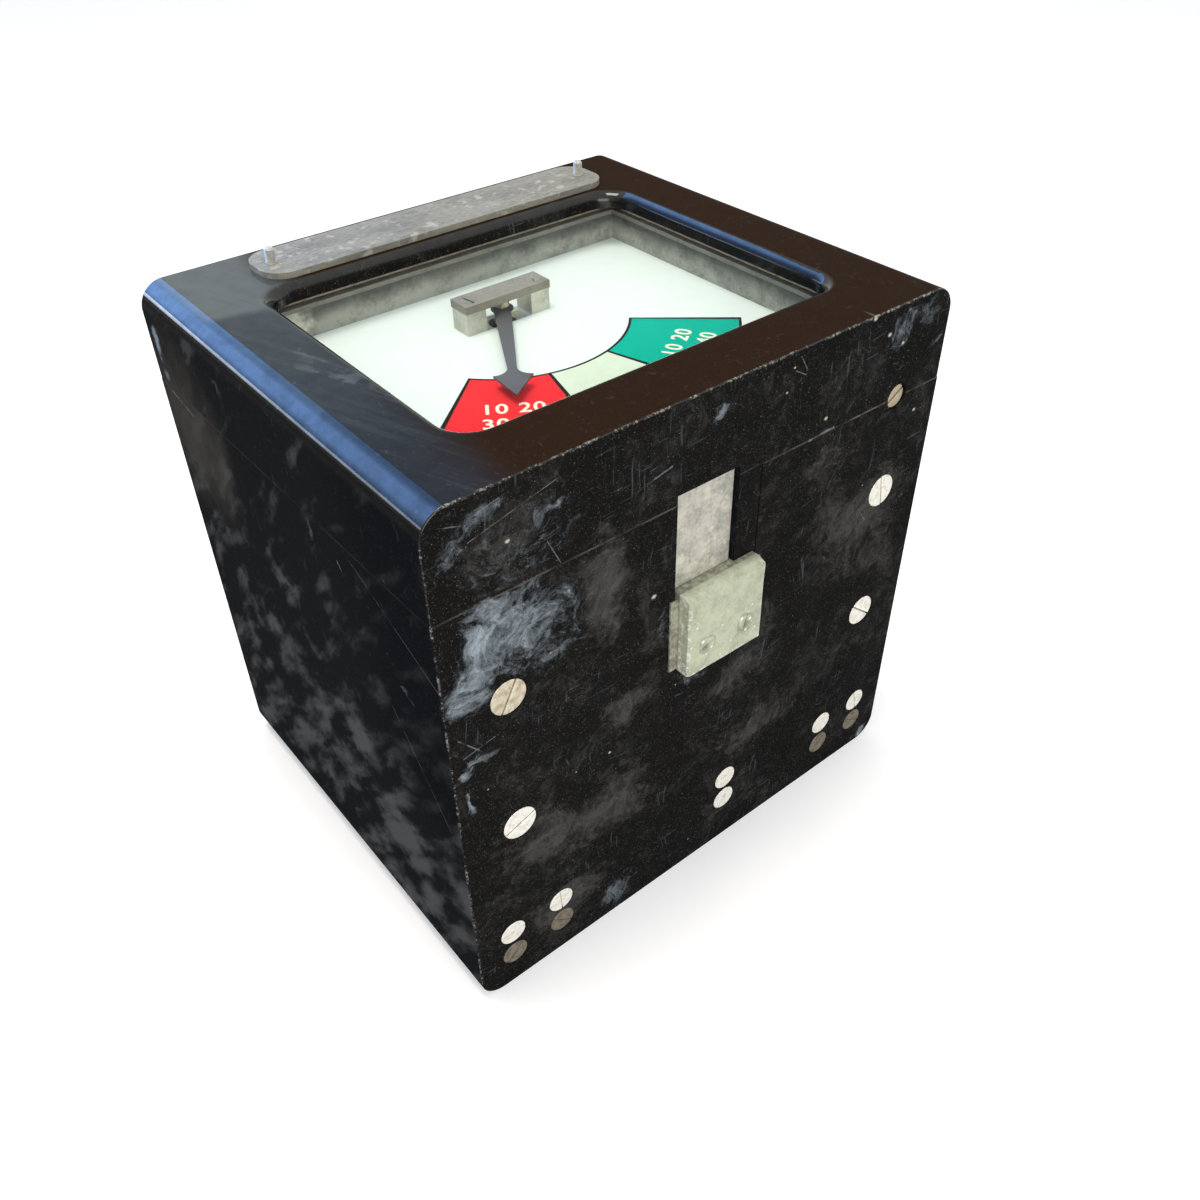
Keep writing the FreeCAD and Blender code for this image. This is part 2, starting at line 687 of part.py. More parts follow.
def make_pointer():
    """The spade-headed pointer with its collet, spindle, armature, stop arm and balance weight."""
    body = doc.addObject("PartDesign::Body", "pointer_sheet")
    face = flat_sketch(body, "pointer_face", "XY_Plane", POINTER_UNDER)
    barb = "(pointer_tip - pointer_point)"
    neck = "(pointer_tip - pointer_point - pointer_head + pointer_neck)"
    points = [("0 - pointer_root", "0"), ("0 - pointer_neck", f"0 - {neck}"),
              ("0 - pointer_head", f"0 - {neck}"),
              ("0 - pointer_head", f"0 - {barb}"), ("0", "0 - pointer_tip"), ("pointer_head", f"0 - {barb}"),
              ("pointer_head", f"0 - {neck}"), ("pointer_neck", f"0 - {neck}"), ("pointer_root", "0")]
    rough = [(-3, 0), (-1.5, -44), (-6, -44), (-6, -49), (0.1, -62), (6, -49), (6, -44), (1.5, -44), (3, 0)]
    outline(face, points, rough)
    pad(body, "pointer_blade_pad", face, "pointer_thick")
    hub = rod("pointer_hub_disc", "pointer_hub", "pointer_thick", ("0", "0", POINTER_UNDER))
    blank = join("pointer_blank", body, hub)
    tools = [rod("pointer_bore", "spindle_radius", "pointer_thick", ("0", "0", POINTER_UNDER))]
    for across in ("-1", "1"):
        tools.append(rod("pointer_shoulder" + across, "pointer_head - pointer_neck", "pointer_thick",
                         (f"{across} * pointer_head", f"0 - {neck}", POINTER_UNDER)))
    node("pointer_blade", swing(carve("pointer_blade", blank, *tools)))

    def ring(label, radius, low, length):
        """A round collar on the spindle."""
        tube = rod(label + "_tube", radius, length, ("0", "0", low))
        bore = rod(label + "_bore", "spindle_radius", length, ("0", "0", low))
        return node(label, swing(carve(label, tube, bore)))

    ring("pointer_collet", "collet_radius", f"{DIAL} - collet_drop", "pointer_rise + collet_drop")
    foot = f"({CHASSIS} + bush_length - bush_bore + end_float)"
    spindle = rod("spindle", "spindle_radius", f"{BAR_UNDER} - 2 * end_float - bore_floor - {foot}",
                  ("0", "0", foot))
    node("spindle", swing(spindle))

    low = f"({SHOE_UNDER} + armature_gap)"
    thick = "(shoe_thick - 2 * armature_gap)"
    disc = rod("armature_disc", "armature_radius", thick, ("0", "0", low))
    bar = box("armature_bar", ("0 - armature_radius", "armature_radius"),
              ("0 - armature_width / 2", "armature_width / 2"), (low, f"{low} + {thick}"))
    both = doc.addObject("Part::Common", "armature_blank")
    both.Base = disc
    both.Tool = bar
    bore = rod("armature_bore", "spindle_radius", thick, ("0", "0", low))
    node("armature", swing(carve("armature", both, bore)))

    low = f"({PLATE_UNDER} - arm_drop)"
    strip = box("arm_strip", ("0 - arm_width / 2", "arm_width / 2"), ("0", "arm_reach"),
                (low, f"{low} + arm_thick"))
    eye = rod("arm_eye", "bush_radius", "arm_thick", ("0", "0", low))
    bore = rod("arm_bore", "spindle_radius", "arm_thick", ("0", "0", low))
    node("stop_arm", swing(carve("stop_arm", join("arm_blank", strip, eye), bore)))
    weight = rod("balance_weight_disc", "weight_radius", "weight_length",
                 ("0", "weight_reach", f"{low} - weight_length"))
    node("balance_weight", swing(group("balance_weight", [weight])))


def make_movement():
    """The electromagnet on the chassis plate and the plate under the dial that it reaches."""
    plate = box("top_plate_blank", ("0 - top_plate_width / 2", "top_plate_width / 2"),
                ("pivot_rise - top_plate_height / 2", "pivot_rise + top_plate_height / 2"),
                (PLATE_UNDER, DIAL_UNDER))
    tools = [rod("top_plate_eye", "collet_radius + collet_clearance", "top_plate_thick",
                 ("0", "pivot_rise", PLATE_UNDER))]
    for across in ("-1", "1"):
        tools.append(rod("top_plate_hole" + across, "small_shank + fit_gap", "top_plate_thick",
                         (f"{across} * (bridge_length - bridge_leg) / 2", "pivot_rise", PLATE_UNDER)))
    node("movement_top_plate", carve("movement_top_plate", plate, *tools))
    posts = []
    for index, (across, along) in enumerate(quarters):
        posts.append(rod(f"movement_post_{index}", "post_radius", f"{PLATE_UNDER} - {CHASSIS}",
                         (f"{across} * post_spread", f"pivot_rise + {along} * post_reach", CHASSIS)))
    node("movement_posts", group("movement_posts", posts))

    yoke = box("yoke_blank", ("0 - yoke_length / 2", "yoke_length / 2"),
               ("pivot_rise - yoke_width / 2", "pivot_rise + yoke_width / 2"), (CHASSIS, YOKE_TOP))
    eye = rod("yoke_eye", "bush_radius", "yoke_thick", ("0", "pivot_rise", CHASSIS))
    node("yoke", carve("yoke", yoke, eye))
    bush = rod("rear_bush", "bush_radius", "bush_length", ("0", "pivot_rise", CHASSIS))
    bore = rod("rear_bore", "spindle_radius + running_gap", "bush_bore",
               ("0", "pivot_rise", f"{CHASSIS} + bush_length - bush_bore"))
    node("rear_bearing", carve("rear_bearing", bush, bore))

    nuts = []
    for across, hand in (("-1", "left"), ("1", "right")):
        x = f"{across} * coil_spread"
        core = rod("core_" + hand, "core_radius", "bobbin_length + shoe_thick + nut_thick",
                   (x, "pivot_rise", YOKE_TOP))
        node("coil_core_" + hand, core)
        spool = doc.addObject("PartDesign::Body", "spool_" + hand)
        profile = flat_sketch(spool, "spool_profile_" + hand, "XZ_Plane")
        tube = "(core_radius + fit_gap + bobbin_wall)"
        bore_line = "(core_radius + fit_gap)"
        outline(profile, [(bore_line, "0"), ("flange_radius", "0"), ("flange_radius", "flange_thick"),
                          (tube, "flange_thick"), (tube, "bobbin_length - flange_thick"),
                          ("flange_radius", "bobbin_length - flange_thick"),
                          ("flange_radius", "bobbin_length"),
                          (bore_line, "bobbin_length")],
                [(4.5, 0.1), (15, 0.1), (15, 1.5), (6, 1.5), (6, 35), (15, 35), (15, 37), (4.5, 37)])
        turned = spool.newObject("PartDesign::Revolution", "spool_turned_" + hand)
        turned.Profile = profile
        turned.ReferenceAxis = (profile, ["V_Axis"])
        turned.Angle = 360
        node("coil_bobbin_" + hand, settle(spool, (x, "pivot_rise", YOKE_TOP)))
        wire = rod("wire_" + hand, "coil_radius", "bobbin_length - 2 * flange_thick",
                   (x, "pivot_rise", f"{YOKE_TOP} + flange_thick"))
        middle = rod("wire_bore_" + hand, tube, "bobbin_length - 2 * flange_thick",
                     (x, "pivot_rise", f"{YOKE_TOP} + flange_thick"))
        node("coil_winding_" + hand, carve("coil_winding_" + hand, wire, middle))
        ends = [f"{across} * armature_radius / 2", f"{across} * shoe_end"]
        if across == "-1":
            ends.reverse()
        block = box("shoe_block_" + hand, ends,
                    ("pivot_rise - shoe_width / 2", "pivot_rise + shoe_width / 2"),
                    (SHOE_UNDER, f"{SHOE_UNDER} + shoe_thick"))
        sweep = rod("shoe_sweep_" + hand, "armature_radius + armature_gap", "shoe_thick",
                    ("0", "pivot_rise", SHOE_UNDER))
        hole = rod("shoe_hole_" + hand, "core_radius", "shoe_thick", (x, "pivot_rise", SHOE_UNDER))
        node("pole_shoe_" + hand, carve("pole_shoe_" + hand, block, sweep, hole))
        nuts.append(nut("core_nut_" + hand, "nut_radius", "nut_thick", "core_radius",
                        (x, "pivot_rise", f"{SHOE_UNDER} + shoe_thick"), "+z"))
    node("core_nuts", group("core_nuts", nuts))

    stops = []
    for side in (-1, 1):
        pin = rod(f"stop_pin_{side}_bar", "stop_radius", "arm_drop + cut_spare",
                  (f"0 - {side} * (arm_width / 2 + stop_radius + stop_gap)", "stop_reach",
                   f"{PLATE_UNDER} - arm_drop - cut_spare"))
        stops.append(swing(group(f"stop_pin_{side}", [pin]), side))
    node("stop_pins", group("stop_pins", stops))


def make_terminals():
    """The terminal board inside the underside wall, with five studs, their nuts and washers."""
    face = f"(board_thick - {INNER_FACE})"
    side = "(case_width / 2 - wall - inner_radius - board_gap)"
    board = box("board_blank", (f"0 - {side}", side),
                (f"0 - {INNER_FACE}", face), ("board_low", "board_high"))
    tools = []
    for index, (x, z) in enumerate(tag_spots):
        tools.append(rod(f"board_hole_{index}", "tag_shank + fit_gap", "tag_length - wall + hole_spare",
                         (x, f"0 - {INNER_FACE}", z), "+y"))
    studs = []
    nuts = []
    washers = []
    for index in range(-2, 3):
        x = f"{index} * stud_pitch"
        tools.append(rod(f"board_stud_hole_{index}", "terminal_radius", "stud_sink",
                         (x, f"{face} - stud_sink", "stud_level"), "+y"))
        studs.append(rod(f"terminal_stud_{index}", "terminal_radius", "stud_length + stud_sink",
                         (x, f"{face} - stud_sink", "stud_level"), "+y"))
        seat = face
        for layer in range(2):
            nuts.append(nut(f"terminal_nut_{index}_{layer}", "terminal_nut", "terminal_nut_thick",
                            "terminal_radius", (x, seat, "stud_level"), "+y"))
            seat = f"{seat} + terminal_nut_thick"
            if layer == 0:
                disc = rod(f"washer_disc_{index}", "washer_radius", "washer_thick", (x, seat, "stud_level"),
                           "+y")
                bore = rod(f"washer_bore_{index}", "terminal_radius", "washer_thick",
                           (x, seat, "stud_level"), "+y")
                washers.append(carve(f"terminal_washer_{index}", disc, bore))
                seat = f"{seat} + washer_thick"
    node("terminal_board", carve("terminal_board", board, *tools))
    node("terminal_studs", group("terminal_studs", studs))
    node("terminal_nuts", group("terminal_nuts", nuts))
    node("terminal_washers", group("terminal_washers", washers))


def make_cover():
    """The moulded cover: rounded front edges, the window, the glass rebate and the hasp's pocket."""
    body = doc.addObject("PartDesign::Body", "cover_moulding")
    side = flat_sketch(body, "cover_side", "XZ_Plane")
    rectangle(side, ("0 - case_width / 2", "case_width / 2"), (SEAM, "case_depth"))
    block = pad(body, "cover_block", side, "case_height", True)
    doc.recompute()
    front = size("case_depth")
    high = edges_along(block.Shape, Y_AXIS, lambda p: p.z > front - 1)
    soften(body, "Fillet", "cover_rounding", block, high, "edge_radius")
    mouth = flat_sketch(body, "cover_mouth", "XY_Plane", SEAM)
    rectangle(mouth, ("cover_wall - case_width / 2", "case_width / 2 - cover_wall"),
              ("cover_wall - case_height / 2", "case_height / 2 - cover_wall"))
    hollow = pocket(body, "cover_hollow", mouth, "cover_drop - front_wall", True)
    doc.recompute()
    side_face = size("case_width") / 2 - size("cover_wall")
    upright = edges_along(hollow.Shape, Z_AXIS, lambda p: abs(abs(p.x) - side_face) < 0.01)
    soften(body, "Fillet", "cover_inner_rounding", hollow, upright, "inner_radius")
    frame = flat_sketch(body, "cover_window", "XY_Plane", "case_depth")
    rectangle(frame, (f"0 - {WINDOW_HALF}", WINDOW_HALF), (WINDOW_LOW, WINDOW_HIGH))
    window = pocket(body, "cover_opening", frame, "front_wall + cut_spare")
    doc.recompute()
    half = size("case_width") / 2 - size("window_side")
    jambs = edges_along(window.Shape, Z_AXIS, lambda p: abs(abs(p.x) - half) < 0.01)
    soften(body, "Fillet", "cover_window_corners", window, jambs, "window_radius")
    doc.recompute()
    brim = []
    for index, edge in enumerate(body.Tip.Shape.Edges, start=1):
        corner = edge.BoundBox
        inside = max(abs(corner.XMin), abs(corner.XMax)) < half + 0.01
        if abs(corner.ZMin - front) < 0.01 and abs(corner.ZMax - front) < 0.01 and inside:
            brim.append(f"Edge{index}")
    soften(body, "Fillet", "cover_window_lip", body.Tip, brim, "lip_radius")
    rebate = flat_sketch(body, "cover_rebate", "XY_Plane", "case_depth - front_wall")
    rectangle(rebate,
              (f"0 - {WINDOW_HALF} - glass_lap - glazing_gap", f"{WINDOW_HALF} + glass_lap + glazing_gap"),
              (f"{WINDOW_LOW} - glass_lap - glazing_gap", f"{WINDOW_HIGH} + glass_lap + glazing_gap"))
    pocket(body, "cover_glass_rebate", rebate, "front_wall - window_lip", True)
    slit = flat_sketch(body, "cover_hasp_mouth", "XY_Plane", SEAM)
    rectangle(slit, (f"{HASP_LEFT} - hasp_gap", f"{HASP_RIGHT} + hasp_gap"),
              (f"0 - {HASP_FACE} - hasp_gap", f"hasp_gap - {HASP_BACK}"))
    pocket(body, "cover_hasp_pocket", slit, "hasp_reach + hasp_gap", True)
    doc.recompute()
    tools = [rod("cover_seam_hole", "seam_hole", "cover_wall + 2 * cut_spare",
                 (SCREW_SPREAD, f"0 - {UNDERSIDE} - cut_spare", SEAM), "+y"),
             box("cover_hasp_notch", (f"{HASP_LEFT} - hasp_gap", f"{HASP_RIGHT} + hasp_gap"),
                 (f"0 - {UNDERSIDE} - cut_spare", f"0 - {HASP_FACE}"),
                 (f"{SEAM} - cut_spare", f"{SEAM} + hasp_notch"))]
    for index, (x, y) in enumerate(retainer_spots()):
        tools.append(rod(f"cover_pilot_{index}", "small_shank + fit_gap", "retainer_bite + hole_spare",
                         (x, y, "case_depth - front_wall"), "+z"))
    for across in ("-1", "1"):
        x = f"carrier_offset + {across} * stud_spacing / 2"
        tools.append(rod("cover_stud_hole" + across, "stud_shank + fit_gap", "front_wall + 2 * cut_spare",
                         (x, CARRIER_MIDDLE, "case_depth - front_wall - cut_spare")))
        x = f"({HASP_LEFT} + {HASP_RIGHT}) / 2 + {across} * hasp_width / 4"
        tools.append(rod("cover_hasp_hole" + across, "small_shank + fit_gap",
                         f"{HASP_BACK} - case_height / 2 + cover_wall + 2 * cut_spare",
                         (x, "cover_wall - case_height / 2 + cut_spare", f"{SEAM} + hasp_reach / 2"), "-y"))
    node("cover_frame", carve("cover_frame", body, *tools))


def retainer_spots():
    """Where the screws of the glass retainer stand, as x and y."""
    x = f"({WINDOW_HALF} + glass_lap + retainer_screw_lap)"
    low = f"({WINDOW_LOW} - glass_lap - retainer_screw_lap)"
    high = f"({WINDOW_HIGH} + glass_lap + retainer_screw_lap)"
    middle = f"(({WINDOW_LOW} + {WINDOW_HIGH}) / 2)"
    spots = [(f"{side} * {x}", level) for side in ("-1", "1")
             for level in (f"{middle} - {WINDOW_TALL} / 3", f"{middle} + {WINDOW_TALL} / 3")]
    spots += [(f"{side} * {WINDOW_HALF} / 2", low) for side in ("-1", "1")]
    spots += [(f"{side} * {WINDOW_HALF} / 2", high) for side in ("-1", "1")]
    return spots


def make_glazing():
    """The cork gasket, the glass, and the metal retainer with its screws."""
    x = f"({WINDOW_HALF} + glass_lap)"
    low = f"({WINDOW_LOW} - glass_lap)"
    high = f"({WINDOW_HIGH} + glass_lap)"
    pad_block = box("gasket_block", (f"0 - {x}", x), (low, high), (GLASS_TOP, f"{GLASS_TOP} + gasket_thick"))
    pad_void = box("gasket_void", (f"0 - {WINDOW_HALF}", WINDOW_HALF), (WINDOW_LOW, WINDOW_HIGH),
                   (GLASS_TOP, f"{GLASS_TOP} + gasket_thick"))
    node("glass_gasket", carve("glass_gasket", pad_block, pad_void))
    node("window_glass", box("window_glass", (f"0 - {x}", x), (low, high), (GLASS_BOTTOM, GLASS_TOP)))
    z = (f"{GLASS_BOTTOM} - retainer_thick", GLASS_BOTTOM)
    ring = box("retainer_block", (f"0 - {WINDOW_HALF} - retainer_lap", f"{WINDOW_HALF} + retainer_lap"),
               (f"{WINDOW_LOW} - retainer_lap", f"{WINDOW_HIGH} + retainer_lap"), z)
    void = box("retainer_void", (f"0 - {WINDOW_HALF} - retainer_inset", f"{WINDOW_HALF} + retainer_inset"),
               (f"{WINDOW_LOW} - retainer_inset", f"{WINDOW_HIGH} + retainer_inset"), z)
    tools = [void]
    screws = []
    for index, (across, along) in enumerate(retainer_spots()):
        at = (across, along, f"{GLASS_BOTTOM} - retainer_thick")
        tools.append(rod(f"retainer_hole_{index}", "small_shank + fit_gap", "retainer_thick", at))
        screw = cheese_head(f"retainer_screw_{index}", "retainer_head", "retainer_head_thick", "small_shank",
                            "retainer_thick + retainer_bite", "small_slot")
        screws.append(settle(screw, at, "-z", 35 * index))
    node("glass_retainer", carve("glass_retainer", ring, *tools))
    node("retainer_screws", group("retainer_screws", screws))


def make_name_plate():
    """The bare raised carrier above the window, and the two studs and nuts that hold its plate."""
    body = doc.addObject("PartDesign::Body", "carrier_sheet")
    face = flat_sketch(body, "carrier_face", "XY_Plane", "case_depth")
    rectangle(face, ("carrier_offset - carrier_length / 2", "carrier_offset + carrier_length / 2"),
              (f"{CARRIER_MIDDLE} - carrier_height / 2", f"{CARRIER_MIDDLE} + carrier_height / 2"))
    slab = pad(body, "carrier_slab", face, "carrier_thick")
    doc.recompute()
    soften(body, "Fillet", "carrier_ends", slab, edges_along(slab.Shape, Z_AXIS, lambda p: True),
           "carrier_radius")
    tools = []
    studs = []
    nuts = []
    for across in ("-1", "1"):
        x = f"carrier_offset + {across} * stud_spacing / 2"
        foot = "(case_depth - front_wall - terminal_nut_thick - stud_tail)"
        collar = "(case_depth + carrier_thick + stud_collar)"
        tools.append(rod("carrier_hole" + across, "stud_shank", "carrier_thick",
                         (x, CARRIER_MIDDLE, "case_depth")))
        shank = rod("carrier_shank" + across, "stud_shank", f"{collar} - {foot}", (x, CARRIER_MIDDLE, foot))
        pin = rod("carrier_pin" + across, "stud_radius", "stud_rise - stud_collar",
                  (x, CARRIER_MIDDLE, collar))
        studs.append(join("carrier_stud" + across, shank, pin))
        nuts.append(nut("carrier_nut" + across, "carrier_nut", "terminal_nut_thick", "stud_shank",
                        (x, CARRIER_MIDDLE, "case_depth - front_wall"), "-z"))
    node("name_plate_carrier", carve("name_plate_carrier", body, *tools))
    node("carrier_studs", group("carrier_studs", studs))
    node("carrier_nuts", group("carrier_nuts", nuts))


def make_hasp():
    """The hasp strip on the cover, and the keeper block, its screws and the filler in the base's channel."""
    strip = box("hasp_blank", (HASP_LEFT, HASP_RIGHT), (f"0 - {HASP_FACE}", f"0 - {HASP_BACK}"),
                ("keeper_high - keeper_slot + hasp_float", f"{SEAM} + hasp_reach"))
    tools = []
    screws = []
    for across in ("-1", "1"):
        x = f"({HASP_LEFT} + {HASP_RIGHT}) / 2 + {across} * hasp_width / 4"
        level = f"{SEAM} + hasp_reach / 2"
        tools.append(rod("hasp_hole" + across, "small_shank", "hasp_thick", (x, f"0 - {HASP_BACK}", level),
                         "-y"))
        screw = cheese_head("hasp_screw" + across, "retainer_head", "retainer_head_thick", "small_shank",
                            f"{HASP_FACE} - case_height / 2 + cover_wall", "small_slot")
        screws.append(settle(screw, (x, "cover_wall - case_height / 2", level), "+y",
                             25 if across == "1" else 70))
    node("hasp_strip", carve("hasp_strip", strip, *tools))
    node("hasp_screws", group("hasp_screws", screws))

    body = doc.addObject("PartDesign::Body", "keeper_casting")
    side = flat_sketch(body, "keeper_side", "YZ_Plane")
    proud = f"(0 - {UNDERSIDE} - keeper_proud)"
    outline(side, [(proud, "keeper_low"), (f"channel_depth - {UNDERSIDE}", "keeper_low"),
                   (f"channel_depth - {UNDERSIDE}", "keeper_high"),
                   (f"{proud} + keeper_bevel", "keeper_high"), (proud, "keeper_high - keeper_bevel / 2")],
            [(-93, 107), (-82, 107), (-82, 138), (-90, 138), (-93, 136)])
    block = pad(body, "keeper_block_pad", side, "keeper_width", True)
    doc.recompute()
    face = size("case_height") / 2 + size("keeper_proud")
    arris = edges_along(block.Shape, Z_AXIS, lambda p: abs(p.y + face) < 0.01)
    soften(body, "Chamfer", "keeper_side_bevels", block, arris, "keeper_edge")
    doc.recompute()
    throat = flat_sketch(body, "keeper_throat", "XY_Plane", "keeper_high")
    rectangle(throat, ("0 - keeper_width / 2 - cut_spare", f"{HASP_RIGHT} + hasp_gap"),
              (f"0 - {HASP_FACE} - hasp_gap", f"channel_depth - {UNDERSIDE} + cut_spare"))
    pocket(body, "keeper_slot_pocket", throat, "keeper_slot")
    doc.recompute()
    tools = []
    screws = []
    for across in ("-1", "1"):
        at = (f"{across} * keeper_screw_spread", proud, "keeper_low + keeper_screw_rise")
        hole = countersunk("keeper_hole" + across, "keeper_head", "keeper_shank",
                           "keeper_proud + channel_depth + cut_spare",
                           None, "fit_gap")
        tools.append(settle(hole, at, "-y"))
        screw = countersunk("keeper_screw" + across, "keeper_head", "keeper_shank", "keeper_proud + wall",
                            "small_slot")
        screws.append(settle(screw, at, "-y", 20 if across == "1" else 75))
    flange = box("keeper_flange", ("0 - flange_width / 2", "flange_width / 2"),
                 (f"0 - {UNDERSIDE} - flange_proud", f"0 - {UNDERSIDE}"), ("keeper_low", "flange_high"))
    node("keeper_block", carve("keeper_block", join("keeper_whole", body, flange), *tools))
    node("keeper_screws", group("keeper_screws", screws))
    node("channel_filler", box("channel_filler", (f"{HASP_RIGHT} + 2 * hasp_gap", "channel_width / 2"),
                               (f"hasp_gap - {UNDERSIDE}", f"channel_depth - {UNDERSIDE}"),
                               ("keeper_high", f"{SEAM} - hasp_gap")))


make_base_shell()
make_wall_screws()
make_corner_rails()
make_chassis()
make_dial()
make_bridge()
make_pointer()
make_movement()
make_terminals()
make_cover()
make_glazing()
make_name_plate()
make_hasp()
doc.recompute()

for thing in doc.Objects:
    if "Invalid" in thing.State or "Error" in thing.State:
        raise RuntimeError(f"{thing.Label} failed: {thing.State}")
for thing in nodes:
    if thing.Shape.isNull() or not thing.Shape.isValid() or not thing.Shape.Solids:
        raise RuntimeError(f"{thing.Label} has no sound shape")

os.makedirs("parts", exist_ok=True)
for thing in nodes:
    thing.Shape.exportStep(f"parts/{thing.Label}.step")
    print(f"{thing.Label}: {len(thing.Shape.Solids)} solids, {thing.Shape.Volume:.1f} cubic mm")
print(len(nodes), "nodes")
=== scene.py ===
import json
import math

import bmesh
import bpy
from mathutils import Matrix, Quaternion, Vector, noise


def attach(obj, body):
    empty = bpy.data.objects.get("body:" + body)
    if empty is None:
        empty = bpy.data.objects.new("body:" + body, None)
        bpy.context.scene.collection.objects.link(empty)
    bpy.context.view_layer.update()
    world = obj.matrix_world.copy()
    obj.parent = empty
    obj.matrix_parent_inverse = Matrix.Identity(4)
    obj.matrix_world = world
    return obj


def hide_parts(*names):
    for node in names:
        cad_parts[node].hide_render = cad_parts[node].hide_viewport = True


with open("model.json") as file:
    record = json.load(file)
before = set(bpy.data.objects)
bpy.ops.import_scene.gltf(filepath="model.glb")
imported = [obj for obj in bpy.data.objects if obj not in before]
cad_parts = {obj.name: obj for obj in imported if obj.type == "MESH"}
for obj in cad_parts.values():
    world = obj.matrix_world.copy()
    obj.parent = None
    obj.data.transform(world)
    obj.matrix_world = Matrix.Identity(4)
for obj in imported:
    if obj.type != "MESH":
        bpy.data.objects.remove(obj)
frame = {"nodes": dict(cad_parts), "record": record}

bl_info = {
    "name": "Block indicator",
    "version": (1, 0, 0),
    "blender": (4, 5, 0),
    "location": "3D Viewport > Sidebar > Block indicator",
    "description": "Adds the visible pieces, finishes and studio of a railway block indicator",
    "category": "Add Mesh",
}

# All lengths are in millimetres, as in the CAD: x runs to the dial's right, y to its top and z out of the dial.
MM = 0.001
WIDE = 101.5
TALL = 86.5
DEEP = 205.5
SEAM = 171.4
WINDOW_SIDE = 72.7
WINDOW_LOW = -61.6
WINDOW_HIGH = 52.5
WINDOW_CORNER = 11
PIVOT = 24.2
DIAL_TOP = 184.0
FIGURE_SIZE = 5.7
SCREW_SIDE = 80.3
SCREW_LEVELS = (79, 134)
CHANNEL_SIDE = 17.4
CHANNEL_FLOOR = -82.5
CHANNEL_LOW = 107
POCKET_RIGHT = 7.7
KEEPER_FACE = -93
KEEPER_SCREWS = (-8.4, 8.4)
KEEPER_SCREW_LEVEL = 117
STUDS = ((-61.2, "left"), (68.8, "right"))
STUD_LINE = 68.3
WIRE_PITCH = 0.55


class IndicatorSizes(bpy.types.PropertyGroup):
    """Sizes of the mouldings' edges, in millimetres."""

    long_edge: bpy.props.FloatProperty(
        name="Long edge radius", description="Radius of the case's long rounded edges in millimetres",
        default=9.3, min=1.0, max=20.0)
    lip: bpy.props.FloatProperty(
        name="Window lip radius", description="Radius of the rounded lip round the window in millimetres",
        default=4.0, min=0.5, max=6.0)
    rim: bpy.props.FloatProperty(
        name="Rim radius", description="Radius of the worn sharp edges in millimetres",
        default=0.6, min=0.1, max=1.2)
    parting: bpy.props.FloatProperty(
        name="Parting edge", description="Chamfer on both sides of the seam in millimetres",
        default=0.35, min=0.05, max=0.6)


class IndicatorFinish(bpy.types.PropertyGroup):
    """Strength of the case's finish and wear."""

    polish: bpy.props.FloatProperty(
        name="Polish", description="How much of the moulding's polish is left", default=1.0, min=0.0, max=1.0,
        subtype="FACTOR")
    dust: bpy.props.FloatProperty(
        name="Dust", description="How strongly dust and specks show", default=1.0, min=0.0, max=2.0,
        subtype="FACTOR")


def deselect():
    bpy.ops.object.select_all(action="DESELECT")


def take(piece):
    """Selects just this piece and makes it active."""
    deselect()
    piece.select_set(True)
    bpy.context.view_layer.objects.active = piece


def named(name):
    """Names the piece that was just added, and its mesh."""
    piece = bpy.context.object
    piece.name = name
    piece.data.name = name
    return piece


def settle(piece):
    """Puts the piece's place, turn and size into its mesh."""
    take(piece)
    bpy.ops.object.transform_apply(location=True, rotation=True, scale=True)
    return piece


def enter(piece):
    """Opens the piece in edit mode with everything selected."""
    take(piece)
    bpy.ops.object.mode_set(mode="EDIT")
    bpy.ops.mesh.select_all(action="SELECT")


def leave():
    bpy.ops.object.mode_set(mode="OBJECT")


def leave_outward():
    """Turns all the faces outward and goes back to object mode."""
    bpy.ops.mesh.select_all(action="SELECT")
    bpy.ops.mesh.normals_make_consistent(inside=False)
    leave()


def draw_out(distance):
    """Extrudes what is selected along +Z."""
    bpy.ops.mesh.extrude_region_move(TRANSFORM_OT_translate={"value": (0, 0, distance * MM)})


def block(name, low, high):
    """Adds a box between two corners."""
    deselect()
    centre = [(a + b) / 2 * MM for a, b in zip(low, high)]
    sides = [(b - a) * MM for a, b in zip(low, high)]
    bpy.ops.mesh.primitive_cube_add(size=1, location=centre, scale=sides)
    return settle(named(name))


def sheet(name, low, high, level):
    """Adds a flat rectangle between two corners at a level."""
    deselect()
    bpy.ops.mesh.primitive_plane_add(size=MM)
    piece = named(name)
    piece.location = ((low[0] + high[0]) / 2 * MM, (low[1] + high[1]) / 2 * MM, level * MM)
    piece.scale = (high[0] - low[0], high[1] - low[1], 1)
    return settle(piece)


def choose_edges(piece, test):
    """Opens the piece in edit mode with the edges selected that pass the test."""
    take(piece)
    bpy.ops.object.mode_set(mode="EDIT")
    bpy.ops.mesh.select_mode(type="EDGE")
    bpy.ops.mesh.select_all(action="DESELECT")
    shape = bmesh.from_edit_mesh(piece.data)
    for edge in shape.edges:
        if test(edge):
            edge.select_set(True)
    shape.select_flush_mode()
    bmesh.update_edit_mesh(piece.data)


def middle(edge):
    return (edge.verts[0].co + edge.verts[1].co) / 2 / MM


def runs(edge, axis):
    """Tells whether an edge runs along an axis, given by its number."""
    way = edge.verts[1].co - edge.verts[0].co
    return abs(way[axis]) > 0.999 * way.length


def round_edges(piece, test, radius, segments=4):
    """Bevels in edit mode the edges that pass the test."""
    choose_edges(piece, test)
    bpy.ops.mesh.bevel(offset=radius * MM, segments=segments, affect="EDGES", clamp_overlap=True)
    leave()
    return piece


